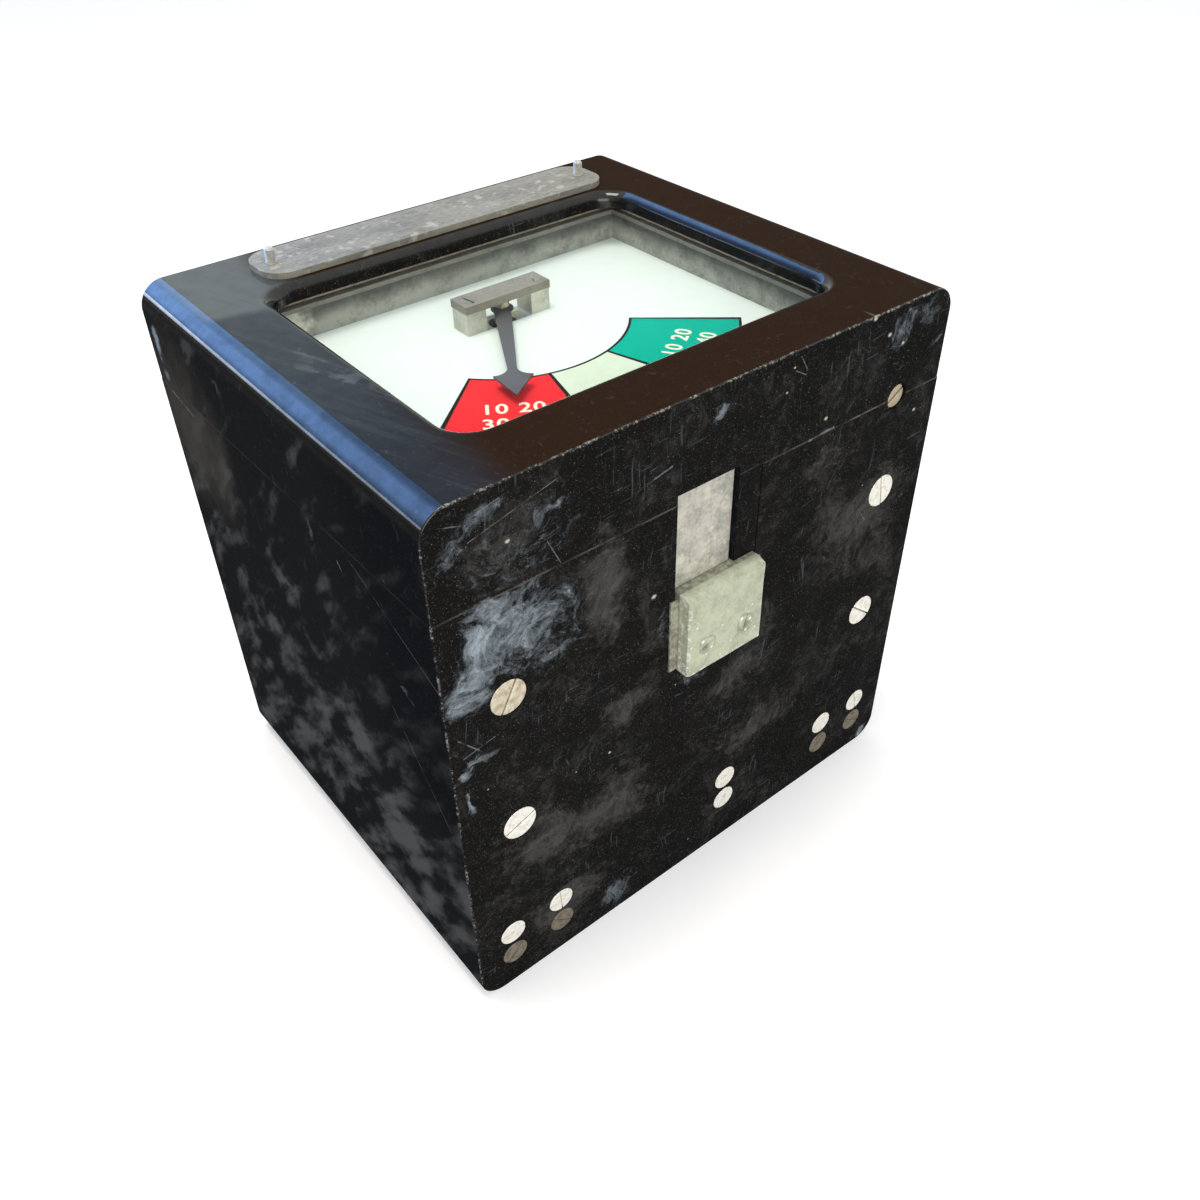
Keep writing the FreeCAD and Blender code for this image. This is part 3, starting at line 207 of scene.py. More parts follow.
def turned(name, rings, sides=40):
    """Turns a piece about +Z from (radius, level) rings, lowest first, by drawing one ring out again and again."""
    deselect()
    radius, level = rings[0]
    bpy.ops.mesh.primitive_circle_add(vertices=sides, radius=radius * MM, fill_type="NGON",
                                      location=(0, 0, level * MM))
    piece = named(name)
    enter(piece)
    for wider, higher in rings[1:]:
        draw_out(higher - level)
        share = wider / radius
        bpy.ops.transform.resize(value=(share, share, 1), center_override=(0, 0, higher * MM))
        radius, level = wider, higher
    leave_outward()
    return settle(piece)


def place(piece, at, towards="+z", spin=0.0):
    """Turns a piece made along +Z to face a direction, spins it about that and moves it."""
    tilt = {"+z": 0.0, "-y": math.pi / 2, "+y": -math.pi / 2}[towards]
    piece.rotation_mode = "QUATERNION"
    piece.rotation_quaternion = Quaternion((1, 0, 0), tilt) @ Quaternion((0, 0, 1), math.radians(spin))
    piece.location = [v * MM for v in at]
    return settle(piece)


def copied(piece, name):
    """Copies a piece with a mesh of its own."""
    take(piece)
    bpy.ops.object.duplicate(linked=False)
    return named(name)


def discard(piece):
    bpy.data.objects.remove(piece, do_unlink=True)


def worked(piece, kind, **settings):
    """Adds a modifier of a kind with its settings and applies it."""
    take(piece)
    step = piece.modifiers.new("Step", kind)
    for label, value in settings.items():
        setattr(step, label, value)
    bpy.ops.object.modifier_apply(modifier=step.name)
    return piece


def cut(piece, *tools):
    """Takes the tools out of the piece, one exact boolean at a time, and removes them."""
    for tool in tools:
        worked(piece, "BOOLEAN", operation="DIFFERENCE", solver="EXACT", object=tool)
        discard(tool)


def soften(piece, radius, segments=2, angle=35.0):
    """Rounds every sharp edge a little with a bevel modifier, then shades the piece smooth by angle."""
    worked(piece, "BEVEL", width=radius * MM, segments=segments, limit_method="ANGLE",
           angle_limit=math.radians(angle), use_clamp_overlap=True, harden_normals=False)
    return smooth(piece)


def smooth(piece, angle=40.0):
    take(piece)
    bpy.ops.object.shade_smooth_by_angle(angle=math.radians(angle))
    return worked(piece, "WEIGHTED_NORMAL", keep_sharp=True, weight=60)


def rounded_copy(node, name, radius, segments=2):
    """Copies a CAD node's mesh, merges it into clean faces and rounds its edges."""
    piece = frame["nodes"][node]
    twin = piece.copy()
    twin.data = piece.data.copy()
    twin.parent = None
    twin.name = name
    twin.data.name = name
    twin.data.materials.clear()
    bpy.context.scene.collection.objects.link(twin)
    enter(twin)
    bpy.ops.mesh.remove_doubles(threshold=0.00001)
    bpy.ops.mesh.dissolve_limited(angle_limit=math.radians(1.0))
    leave_outward()
    return soften(twin, radius, segments)


def finish(piece, body, slot, material, *nodes):
    """Gives the piece its material and the body it moves with, and hides the CAD nodes it stands for. The slot argument
    is not used.
    """
    piece.data.materials.clear()
    piece.data.materials.append(bpy.data.materials["finish " + material])
    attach(piece, body)
    if nodes:
        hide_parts(*nodes)


class Wire:
    """A shader node's output; reckoning with it adds nodes, so that a mask reads like a formula."""

    def __init__(self, tree, socket):
        self.tree = tree
        self.socket = socket

    def into(self, socket):
        self.tree.links.new(self.socket, socket)

    def math(self, operation, *values, clamp=False):
        return add_node(self.tree, "Math", self, *values, operation=operation, use_clamp=clamp)[0]

    def __add__(self, other):
        return self.math("ADD", other)

    def __sub__(self, other):
        return self.math("SUBTRACT", other)

    def __mul__(self, other):
        return self.math("MULTIPLY", other)

    def __abs__(self):
        return self.math("ABSOLUTE")

    def fade(self, start, end, low=0.0, high=1.0):
        """Runs smoothly from low to high while the value goes from start to end."""
        return add_node(self.tree, "MapRange", self, start, end, low, high, interpolation_type="SMOOTHSTEP")[0]

    def aim(self, operation, *vectors):
        """Adds a vector sum; dot products and lengths come out as values."""
        index = 1 if operation in ("DOT_PRODUCT", "LENGTH") else 0
        return add_node(self.tree, "VectorMath", self, *vectors, operation=operation)[index]

    def scaled(self, amount):
        return add_node(self.tree, "VectorMath", self, None, None, amount, operation="SCALE")[0]

    def split(self):
        return add_node(self.tree, "SeparateXYZ", self)

    def turn(self, axis, degrees):
        """Turns a place about one axis, for marks that run aslant."""
        return add_node(self.tree, "VectorRotate", self, None, None, math.radians(degrees),
                        rotation_type=axis + "_AXIS")[0]

    def cloud(self, scale, detail=3.0, roughness=0.55, stretch=None):
        spot = self if stretch is None else self.aim("MULTIPLY", stretch)
        return add_node(self.tree, "TexNoise", spot, None, scale, detail, roughness)[0]

    def drift(self, scale, reach):
        """A place that wanders a little, so that what is drawn from it gets natural edges."""
        colour = add_node(self.tree, "TexNoise", self, None, scale, 4.0)[1]
        return self.aim("ADD", colour.aim("SUBTRACT", (0.5, 0.5, 0.5)).scaled(reach))

    def use(self, name, *values, output=0):
        """Feeds a group this place and further values, and gives one of its outputs."""
        return add_node(self.tree, "Group", self, *values, node_tree=bpy.data.node_groups[name])[output]


def feed(tree, value, socket):
    if isinstance(value, Wire):
        value.into(socket)
    elif value is not None:
        socket.default_value = value


def add_node(tree, kind, *values, **settings):
    """Adds a shader node, feeds its inputs in order and returns its outputs as wires."""
    node = tree.nodes.new("ShaderNode" + kind)
    for label, value in settings.items():
        setattr(node, label, value)
    for value, socket in zip(values, node.inputs):
        feed(tree, value, socket)
    return [Wire(tree, socket) for socket in node.outputs]


def blend(share, first, second):
    """Mixes two colours by a mask."""
    first, second = [(*colour, 1) if isinstance(colour, tuple) else colour for colour in (first, second)]
    return add_node(share.tree, "Mix", share, *[None] * 5, first, second, data_type="RGBA")[2]


def strongest(masks):
    most = masks[0]
    for mask in masks[1:]:
        most = most.math("MAXIMUM", mask)
    return most


def seen_by(tree, *kinds):
    """1 for rays of the named kinds and 0 for all others."""
    rays = tree.nodes.new("ShaderNodeLightPath")
    return strongest([Wire(tree, rays.outputs[f"Is {kind} Ray"]) for kind in kinds])


class Finish:
    """A material in the making: its place in millimetres and the colour laid down so far."""

    def __init__(self, name, colour, metallic=0.0, roughness=0.4, **settings):
        material = bpy.data.materials.new("finish " + name)
        material.use_nodes = True
        self.tree = material.node_tree
        self.shader = self.tree.nodes["Principled BSDF"]
        self.colour = tuple(colour)
        plain = {"Base Color": (*colour, 1), "Metallic": metallic, "Roughness": roughness}
        for label, value in (plain | settings).items():
            self.shader.inputs[label.replace("_", " ")].default_value = value
        self.spot = self.where("Object").scaled(1000.0)

    def where(self, label):
        return Wire(self.tree, self.tree.nodes.new("ShaderNodeTexCoord").outputs[label])

    def give(self, label, wire):
        wire.into(self.shader.inputs[label])

    def lay(self, colour, mask, *masks):
        """Lays a colour over the finish where all the masks meet."""
        for other in masks:
            mask = mask * other
        self.colour = blend(mask, self.colour, colour)
        self.give("Base Color", self.colour)

    def bump(self, height, strength, depth):
        node = self.tree.nodes.new("ShaderNodeBump")
        for label, value in (("Strength", strength), ("Distance", depth), ("Height", height)):
            feed(self.tree, value, node.inputs[label])
        self.give("Normal", Wire(self.tree, node.outputs[0]))


def new_group(name, defaults, outputs=("Mask",)):
    """Starts a node group that takes a place and further inputs; returns its input wires and end sockets."""
    tree = bpy.data.node_groups.new(name, "ShaderNodeTree")
    tree.interface.new_socket(name="Place", in_out="INPUT", socket_type="NodeSocketVector")
    for label, value in defaults.items():
        kind = "NodeSocketVector" if isinstance(value, tuple) else "NodeSocketFloat"
        tree.interface.new_socket(name=label, in_out="INPUT", socket_type=kind).default_value = value
    for label in outputs:
        tree.interface.new_socket(name=label, in_out="OUTPUT", socket_type="NodeSocketFloat")
    given = tree.nodes.new("NodeGroupInput").outputs[:len(defaults) + 1]
    return [Wire(tree, socket) for socket in given], tree.nodes.new("NodeGroupOutput").inputs


def make_patch_group():
    """A ragged stain of a given middle and size, in millimetres, and the ring round its edge."""
    (spot, puffs, centre, size, ragged), out = new_group(
        "Patch", {"Cloud": 0.5, "Middle": (0, 0, 0), "Size": (10, 10, 10), "Ragged": 0.4}, ("Mask", "Rim"))
    reach = spot.aim("SUBTRACT", centre).aim("DIVIDE", size).aim("LENGTH")
    edge = (puffs - 0.5) * ragged * 4.0 + reach
    edge.fade(1.1, 0.2).into(out[0])
    abs(edge - 0.85).fade(0.16, 0.02).into(out[1])


def make_stroke_group():
    """A scratch between two points, in millimetres, broken up by a cloud."""
    (spot, puffs, start, end, width), out = new_group(
        "Stroke", {"Cloud": 0.5, "Start": (0, 0, 0), "End": (10, 0, 0), "Width": 0.3})
    along = end.aim("SUBTRACT", start)
    off = spot.aim("SUBTRACT", start)
    share = off.aim("DOT_PRODUCT", along).math("DIVIDE", along.aim("DOT_PRODUCT", along), clamp=True)
    gap = off.aim("SUBTRACT", along.scaled(share)).aim("LENGTH")
    broken = puffs.fade(0.38, 0.55, 0.25, 1.0)
    wide = width * broken
    (gap.fade(wide, wide * 0.2) * broken).into(out[0])


def make_speck_group():
    """Small scattered specks of dust."""
    (spot, scale, size, share), out = new_group("Specks", {"Scale": 0.25, "Size": 0.12, "Share": 0.3})
    distance, colour = add_node(spot.tree, "TexVoronoi", spot, None, scale)[:2]
    kept = colour.split()[0].math("LESS_THAN", share)
    (distance.fade(size, size * 0.4) * kept).into(out[0])


def make_hair_group():
    """Fine hair scratches in one direction, broken up by a coarse cloud."""
    (spot, stretch, scale, share), out = new_group(
        "Hair scratches", {"Stretch": (1, 0.05, 1), "Scale": 1.6, "Share": 0.62})
    bent = spot.aim("ADD", spot.cloud(0.03, 1.0).scaled(12.0))
    thin = bent.aim("MULTIPLY", stretch).cloud(scale, 2.0, 0.5).fade(share, share + 0.05)
    (thin * spot.cloud(0.06, 2.0).fade(0.5, 0.62)).into(out[0])


def make_marble_group():
    """Cloudy handling marks: soft blotches drawn out in one direction."""
    (spot, stretch, scale), out = new_group("Handling marks", {"Stretch": (1, 1, 1), "Scale": 0.03})
    drawn = spot.aim("MULTIPLY", stretch)
    both = drawn.cloud(scale * 6.0, 3.0, 0.6) * 0.35 + drawn.cloud(scale, 5.0, 0.62) * 0.65
    both.fade(0.40, 0.66).into(out[0])


def dull_metal(name, colour, dark, metallic=1.0, roughness=0.35, grain=0.5, stretch=(1, 1, 1), stain=None):
    """A worn metal: cloudy tarnish, fine grain and an optional stain colour."""
    look = Finish(name, colour, metallic, roughness)
    fine = look.spot.cloud(1.4, 4.0, 0.6, stretch)
    look.lay(dark, look.spot.use("Handling marks", stretch, 0.12), 0.75)
    look.lay(dark, fine.fade(0.45, 0.75, 0.0, grain))
    if stain is not None:
        look.lay(stain, look.spot.cloud(0.22, 4.0).fade(0.55, 0.68, 0.0, 0.7))
    look.give("Roughness", fine.fade(0.3, 0.8, roughness * 0.8, min(1.0, roughness * 1.5)))
    look.bump(fine, 0.25, 0.00008)


def painted(name, colour, dark, roughness=0.4, grime=0.5, rough_height=0.2, scale=0.12, shine=0.3):
    """A paint or enamel with grime in its clouds, small chips and a slight orange peel."""
    look = Finish(name, colour, 0.0, roughness, Specular_IOR_Level=shine)
    look.lay(dark, look.spot.use("Handling marks", (1, 1, 1), scale), grime)
    look.lay(dark, look.spot.use("Specks", 0.35, 0.16, 0.15), grime)
    fine = look.spot.cloud(0.9, 3.0)
    look.give("Roughness", fine.fade(0.3, 0.7, roughness * 0.85, min(1.0, roughness * 1.2)))
    look.bump(fine, rough_height, 0.0002)
    return look


def patches(spot, puffs, rows, output=0):
    """The strongest of several stains, each given by its middle, size, raggedness and strength."""
    return strongest([spot.use("Patch", puffs, centre, size, ragged, output=output) * strength
                      for centre, size, ragged, strength in rows])


def strokes(spot, puffs, rows):
    """The strongest of several scratches, each given by its ends, width and strength."""
    return strongest([spot.use("Stroke", puffs, start, end, width) * strength
                      for start, end, width, strength in rows])


def on_front(along, high, depth=-TALL):
    """A place or a size on the underside wall."""
    return along, depth, high


def on_side(along, high, depth=-WIDE):
    """A place or a size on the left wall."""
    return depth, along, high


def stains(wall, ragged, rows):
    """Turns (along, high, half width, half height, strength) rows into stains on a wall."""
    return [(wall(a, z), wall(wide, tall, 9), ragged, strength) for a, z, wide, tall, strength in rows]


def scratches(wall, rows):
    """Turns (along, high, along, high, width, strength) rows into scratches on a wall."""
    return [(wall(*row[:2]), wall(*row[2:4]), *row[4:]) for row in rows]


SMEAR = stains(on_front, 0.1, (
    (-88, 158, 9, 8, 1.1), (-90, 150, 10, 9, 0.95), (-84, 166, 9, 9, 0.8), (-93, 141, 8, 9, 0.85),
    (-74, 156, 22, 18, 0.78), (-74, 168, 13, 5, 0.62), (-66, 142, 9, 6, 0.5), (-96, 111, 4, 5, 0.95),
    (-90, 115, 7, 3, 0.75), (-97, 98, 2, 5, 0.9), (-93, 193, 8, 8, 0.55), (-84, 199, 9, 3, 0.6),
    (-64, 192, 9, 3, 0.55), (-70, 184, 20, 16, 0.26), (-9, 101, 9, 7, 0.5), (-42, 12, 12, 7, 0.6),
    (93, 3, 8, 3, 0.8), (-4.5, 198.5, 4, 3, 0.75), (90, 199, 7, 4, 0.4), (78, 198, 8, 8, 0.72),
    (99, 184, 4, 6, 0.55), (-20, 128, 4, 12, 0.4)))
HAZE = stains(on_front, 0.2, (
    (-44, 152, 11, 26, 0.85), (-37, 104, 14, 10, 0.9), (-28, 128, 8, 22, 0.5), (-80, 186, 20, 14, 0.45),
    (22, 106, 14, 10, 0.45), (-45, 60, 30, 20, 0.7), (30, 55, 34, 14, 0.55), (84, 105, 18, 16, 0.7),
    (66, 128, 34, 26, 0.55), (50, 158, 20, 14, 0.5), (-72, 66, 20, 16, 0.7), (12, 86, 26, 10, 0.5),
    (-60, 24, 24, 12, 0.6)))
RINGS = (stains(on_front, 0.1, ((78, 198, 7.5, 8, 0.30), (-68, 186, 17, 13, 0.10)))
         + stains(on_front, 0.05, ((-70, 152, 18, 17, 0.25),)))
CHIPS = stains(on_front, 0.08, [
    (x, z, size, size * 0.8, 0.9) for x, z, size in (
        (62.5, 204.7, 1.2), (70.9, 196.7, 1.1), (78.5, 191.5, 0.9), (91.1, 162.6, 0.9), (44.7, 176.7, 1.0),
        (25.1, 192.8, 0.6), (27.5, 200.2, 0.6), (-26.0, 142.0, 1.2), (-76.4, 187.0, 1.0), (-44.0, 86.0, 0.7))])
SIDE_PATCHES = stains(on_side, 0.1, (
    (80, 188, 5, 8, 1.2), (78, 177, 4, 4, 0.8), (33, 189, 8, 3, 0.5), (-20, 166, 3, 6, 0.6),
    (-36, 160, 2, 5, 0.7), (-66, 133, 2, 4, 0.6)))
# Clouds of the painted ground reflection on the left wall.
SIDE_REFLECTION_CLOUDS = stains(on_side, 0.2, (
    (62, 150, 34, 40, 0.75), (17, 130, 9, 9, 1.2), (63, 121, 11, 11, 1.0), (-22, 82, 18, 14, 1.1),
    (0, 107, 10, 9, 0.8), (40, 92, 18, 14, 0.9), (-45, 50, 18, 16, 1.1), (-10, 60, 18, 14, 1.0),
    (-60, 28, 14, 14, 1.0), (20, 40, 18, 14, 0.9), (-30, 20, 20, 16, 0.9)))
SCRATCHES_AND_SEAM_HIGHLIGHT = scratches(on_front, (
    (-33, 183, -20, 186, 0.5, 0.5), (71, 128, 74, 124, 0.4, 0.4), (-96, 200, -84, 196, 0.3, 0.45),
    (-90, 198, -78, 201, 0.3, 0.4), (-64, 181, -60, 172, 0.25, 0.4), (28, 199, 33, 196, 0.3, 0.5),
    (30, 203, 33, 198, 0.3, 0.4), (-98, 128, -90, 118, 0.3, 0.5), (-97, 120, -86, 122, 0.3, 0.4),
    # The stroke from (38, 171.3) to (49, 171.9) is a painted highlight along the seam, not a scratch.
    (-88, 192, -60, 199, 0.25, 0.4), (38, 171.3, 49, 171.9, 0.7, 0.6), (57, 171.4, 74, 171.5, 0.4, 0.4),
)) + scratches(on_side, (
    (83, 171, 62, 167, 0.5, 0.5), (-40, 170, -86, 148, 0.2, 0.4), (-55, 120, -82, 84, 0.2, 0.35)))
DARK_SCRATCHES = scratches(on_front, (
    (28.8, 160.6, 37.8, 168, 0.6, 0.9), (47.8, 146, 54.4, 159, 0.6, 0.8), (33, 177, 27, 154, 0.4, 0.6),
    (-28, 199, -30, 178, 0.6, 0.7), (-70, 141, -60, 150, 0.5, 0.7)))


def make_phenolic(polish, dust):
    """The case's black moulding: gloss from the coat, worn off where it is handled, with its stains and scratches, and
    painted reflections, sheen and a seam highlight in its colour.
    """
    look = Finish("phenolic", (0.0068, 0.0064, 0.0060), 0.0, 0.6,
                  Specular_IOR_Level=0.0, Coat_Roughness=0.07, Coat_IOR=1.5)
    spot = look.spot
    across, up, high = spot.split()
    side, rise, level = look.where("Normal").split()
    front = level.fade(0.90, 0.99)
    under = rise.fade(-0.85, -0.97)
    left = side.fade(-0.93, -0.995)
    puffs = spot.cloud(0.15, 5.0, 0.65)
    adrift = spot.drift(0.05, 22.0).drift(0.3, 5.0)

    # The top: brown black, and on the left a painted reflection of the sky's blue with painted glint streaks.
    look.lay((0.0185, 0.0094, 0.0050), front)
    top_left = front * (up * -0.10 + across).fade(-60.0, -80.0)
    glint_streaks = spot.turn("Z", 70).cloud(0.30, 5.0, 0.6, (0.08, 1.0, 1.0))
    # strip carries the painted sky reflection: dark blue near, paler far back beyond a slanted line, with painted
    # glints and streaks laid over it.
    strip = blend(up.fade(-75.0, 10.0), (0.008, 0.012, 0.020), (0.016, 0.026, 0.036))
    strip = blend((across * 0.26 + up).fade(17.0, 23.5), strip, (0.072, 0.088, 0.094))
    glint = patches(adrift, puffs, [((-77, -20, DEEP), (5, 26, 5), 0.1, 0.9), ((-84, -2, DEEP), (6, 20, 5), 0.1, 0.6)])
    glint = (glint_streaks * 2.4 + glint - 1.45).fade(0.2, 0.9)
    strip = blend(glint * 0.6, strip, (0.10, 0.125, 0.145))
    strip = blend(glint_streaks.fade(0.5, 0.68, 0.0, 0.3), strip, (0.035, 0.048, 0.065))
    look.lay(strip, top_left)

    # The left wall: a painted reflection of the ground as grey mottles drawn out aslant, a broad painted sheen high and
    # far back, and darker towards the near corner.
    look.lay((0.0105, 0.0110, 0.0120), left)
    reflection_bands = spot.drift(0.04, 9.0).turn("X", 43).cloud(0.13, 4.0, 0.5, (1.0, 0.26, 1.0))
    lower = (up * 0.35 + high).fade(150.0, 60.0, 0.0, 0.55)
    ground_reflection = reflection_bands * 5.5 + patches(adrift, puffs, SIDE_REFLECTION_CLOUDS) + spot.cloud(0.05, 2.0) * 1.6 + lower
    look.lay((0.084, 0.085, 0.086), left, ground_reflection.fade(3.7, 5.5))
    # A broad painted sheen high on the far part of the left wall.
    look.lay((0.060, 0.056, 0.050), left, adrift.use("Patch", puffs, (-WIDE, 70, 160), (9, 40, 42), 0.1), 0.8)
    look.lay((0.004, 0.005, 0.007), left, up.fade(-20.0, -75.0), high.fade(60.0, 110.0, 0.1, 0.7))

    # The underside wall: haze, smears, scratches, a painted highlight along the seam, and chips; pale patches on the
    # left wall too.
    fluff = adrift.cloud(0.35, 8.0, 0.75)
    fibres = adrift.turn("Y", 34).cloud(0.75, 8.0, 0.8, (0.18, 1.0, 1.0)) * 0.5 + fluff * 0.5
    face_marks = adrift.use("Handling marks", (1.0, 1.0, 1.0), 0.035)
    haze = face_marks * 0.55 + patches(adrift, puffs, HAZE)
    look.lay((0.062, 0.060, 0.056), under, (fluff * 1.7 + haze - 1.0).fade(0.0, 1.3))
    stain = patches(adrift, puffs, SMEAR) + patches(adrift, puffs, RINGS, 1)
    look.lay((0.37, 0.43, 0.47), (fibres * 3.2 + stain - 1.7).fade(0.05, 1.6), dust)
    pale = fibres * 2.4 + patches(adrift, puffs, SIDE_PATCHES) - 1.5
    look.lay((0.24, 0.30, 0.36), left, pale.fade(0.0, 1.0))
    line = strokes(spot, puffs, SCRATCHES_AND_SEAM_HIGHLIGHT)
    look.lay((0.26, 0.27, 0.28), line)
    look.lay((0.003, 0.003, 0.003), strokes(spot, puffs, DARK_SCRATCHES))
    look.lay((0.55, 0.50, 0.40), patches(spot, puffs, CHIPS))

    # Hair scratches and dust everywhere, strongest on the underside wall.
    hair = [spot.use("Hair scratches", stretch, 1.1, share)
            for stretch, share in (((1.0, 0.3, 0.06), 0.64), ((0.07, 0.3, 1.0), 0.66))]
    look.lay((0.14, 0.15, 0.16), strongest(hair), under * 0.16 + 0.08)
    grit = spot.cloud(2.2, 2.0, 0.6).fade(0.60, 0.74, 0.0, 0.16)
    dusty = strongest([spot.use("Specks", 0.55, 0.14, 0.35) * 0.26, spot.use("Specks", 0.12, 0.055, 0.30) * 0.65, grit])
    look.lay((0.40, 0.39, 0.37), dusty, under * 0.80 + 0.20, dust)

    # Worn edges and the seam.
    near_face = up.fade(-85.7, -86.3)
    corner = strongest([across.fade(-100.7, -101.3) * near_face, high.fade(204.6, 205.2) * near_face])
    worn = corner * (spot.cloud(0.9, 5.0, 0.75) * 0.6 + puffs * 0.4).fade(0.50, 0.60)
    look.lay((0.30, 0.29, 0.26), worn, 0.85)
    at_seam = abs(high - SEAM).fade(0.45, 0.1)
    look.lay((0.20, 0.17, 0.13), at_seam, left * 0.3 + under, spot.cloud(0.12, 3.0).fade(0.36, 0.6, 0.1, 0.5))

    rounding = strongest([front, under, left]) * -1.0 + 1.0
    gloss = front * (top_left * up.fade(-70.0, 60.0, 0.26, 0.50) + 0.055)
    gloss = gloss + under * (face_marks * 0.10 + 0.06) + left * 0.02
    gloss = (gloss + rounding * side.fade(-0.62, -0.85, 1.0, 0.2)) * puffs.fade(0.35, 0.70, 1.0, 0.75)
    look.give("Coat Weight", gloss.math("MULTIPLY", polish, clamp=True))
    look.bump(puffs + worn * -2.0 + line * -0.8, 0.12, 0.0001)


def make_glass():
    """Clear window glass: it lets light and shadow through and mirrors the room a little."""
    look = Finish("window", (0.95, 0.98, 0.97), 0.0, 0.0, IOR=1.06, Transmission_Weight=1.0)
    clear = add_node(look.tree, "BsdfTransparent", (0.96, 0.98, 0.97, 1))[0]
    solid = Wire(look.tree, look.shader.outputs[0])
    mixed = add_node(look.tree, "MixShader", seen_by(look.tree, "Shadow", "Diffuse"), solid, clear)[0]
    mixed.into(look.tree.nodes["Material Output"].inputs["Surface"])


def make_screw_face():
    """Screw heads in the walls: painted near white as brightly lit heads, tan on some, with painted shade in the slots,
    on the sunk seam screw and on the lower outer board screws.
    """
    # Near white: painted light, as the heads look in strong light.
    look = Finish("screw face", (0.98, 0.96, 0.88), 0.35, 0.5)
    across, up, high = look.spot.split()
    grain = look.spot.cloud(0.45, 5.0, 0.65)
    look.lay((0.74, 0.68, 0.54), grain.fade(0.42, 0.68))
    tan = blend(grain.fade(0.38, 0.66), (0.72, 0.66, 0.50), (0.46, 0.38, 0.25))
    dim = blend(grain.fade(0.40, 0.66), (0.24, 0.20, 0.145), (0.12, 0.10, 0.075))
    seen_left = across.fade(-60.0, -66.0) * high.fade(120.0, 125.0)
    look.lay(tan, strongest([seen_left, high.fade(160.0, 163.0)]))
    # Painted shade: the lower outer board screws darker tan.
    look.lay(dim, high.fade(21.5, 20.0), abs(across).fade(30.0, 34.0))
    # Painted shade where the face sinks below the wall: in the slots and on the sunk seam screw.
    look.lay((0.45, 0.37, 0.24), abs(up).fade(86.3, 85.9), 0.7)
    look.lay((0.30, 0.25, 0.17), look.spot.use("Specks", 0.9, 0.2, 0.25))
    look.give("Roughness", grain.fade(0.3, 0.7, 0.38, 0.62))
    look.bump(grain, 0.3, 0.0001)


def make_keeper_paint():
    """The keeper's grey-green paint: lumps, white chips along its edges and rings round its two screws."""
    look = painted("keeper paint", (0.50, 0.525, 0.38), (0.22, 0.23, 0.155), 0.5, 0.5, 0.9, 0.2)
    across, up, high = look.spot.split()
    puffs = look.spot.cloud(0.5, 4.0, 0.65)
    rings = patches(look.spot, puffs, [
        ((x, KEEPER_FACE, KEEPER_SCREW_LEVEL), (4.0, 3, 4.0), 0.30, 0.45) for x in KEEPER_SCREWS], 1)
    worn = patches(look.spot, puffs, [((x, KEEPER_FACE, 116), (2.4, 3, 2.2), 0.25, 0.7) for x in (-9.2, 8.9)])
    chips = patches(look.spot, puffs, [((x, KEEPER_FACE, z), (size, 2, size), 0.1, 0.9) for x, z, size in (
        (-10.4, 119.2, 0.9), (-6.4, 114.9, 0.8), (6.6, 119.4, 0.9), (10.6, 117.6, 0.8), (9.0, 113.6, 0.7))])
    look.lay((0.16, 0.16, 0.115), strongest([rings, worn]))
    look.lay((0.88, 0.87, 0.80), chips)
    look.lay((0.85, 0.85, 0.78), look.spot.use("Specks", 0.45, 0.24, 0.10), 0.8)
    edge = strongest([abs(across).fade(15.3, 16.2), high.fade(108.5, 107.4)])
    look.lay((0.80, 0.80, 0.72), edge, puffs.fade(0.50, 0.60), 0.8)
    look.lay((0.17, 0.155, 0.125), up.fade(-88.2, -87.6), puffs.fade(0.35, 0.6, 0.35, 0.95))


def make_surround():
    """The upright surround: grey paint, darker towards its top, with a painted patch of light in the far left corner.
    """
    look = painted("surround paint", (0.34, 0.335, 0.29), (0.12, 0.12, 0.105), 0.5, 0.7, 0.15)
    ragged = look.spot.cloud(0.10, 4.0) * 6.0 + look.spot.split()[2]
    look.lay((0.045, 0.046, 0.044), ragged.fade(190.0, 196.5, 0.0, 0.8))
    # A painted patch of light on the far left corner of the wall.
    cream = look.spot.use("Patch", look.spot.cloud(0.2, 4.0), (-68, 54, 189), (13, 9, 9), 0.35)
    look.lay((0.78, 0.76, 0.62), cream, 0.85)


def make_winding():
    """Enamelled copper wire, wound in fine even turns."""
    look = Finish("enamelled wire", (0.16, 0.05, 0.02), 0.9, 0.35)
    # The copper is painted lighter on each turn's crest and darker between: painted highlight and shade, on top of the
    # bump.
    turns = (look.spot.split()[2] * (2 * math.pi / WIRE_PITCH)).math("SINE")
    look.lay((0.50, 0.17, 0.06), turns.fade(-1.0, 1.0))
    look.give("Roughness", look.spot.cloud(0.3).fade(0.3, 0.7, 0.28, 0.5))
    look.bump(turns, 0.6, 0.0002)


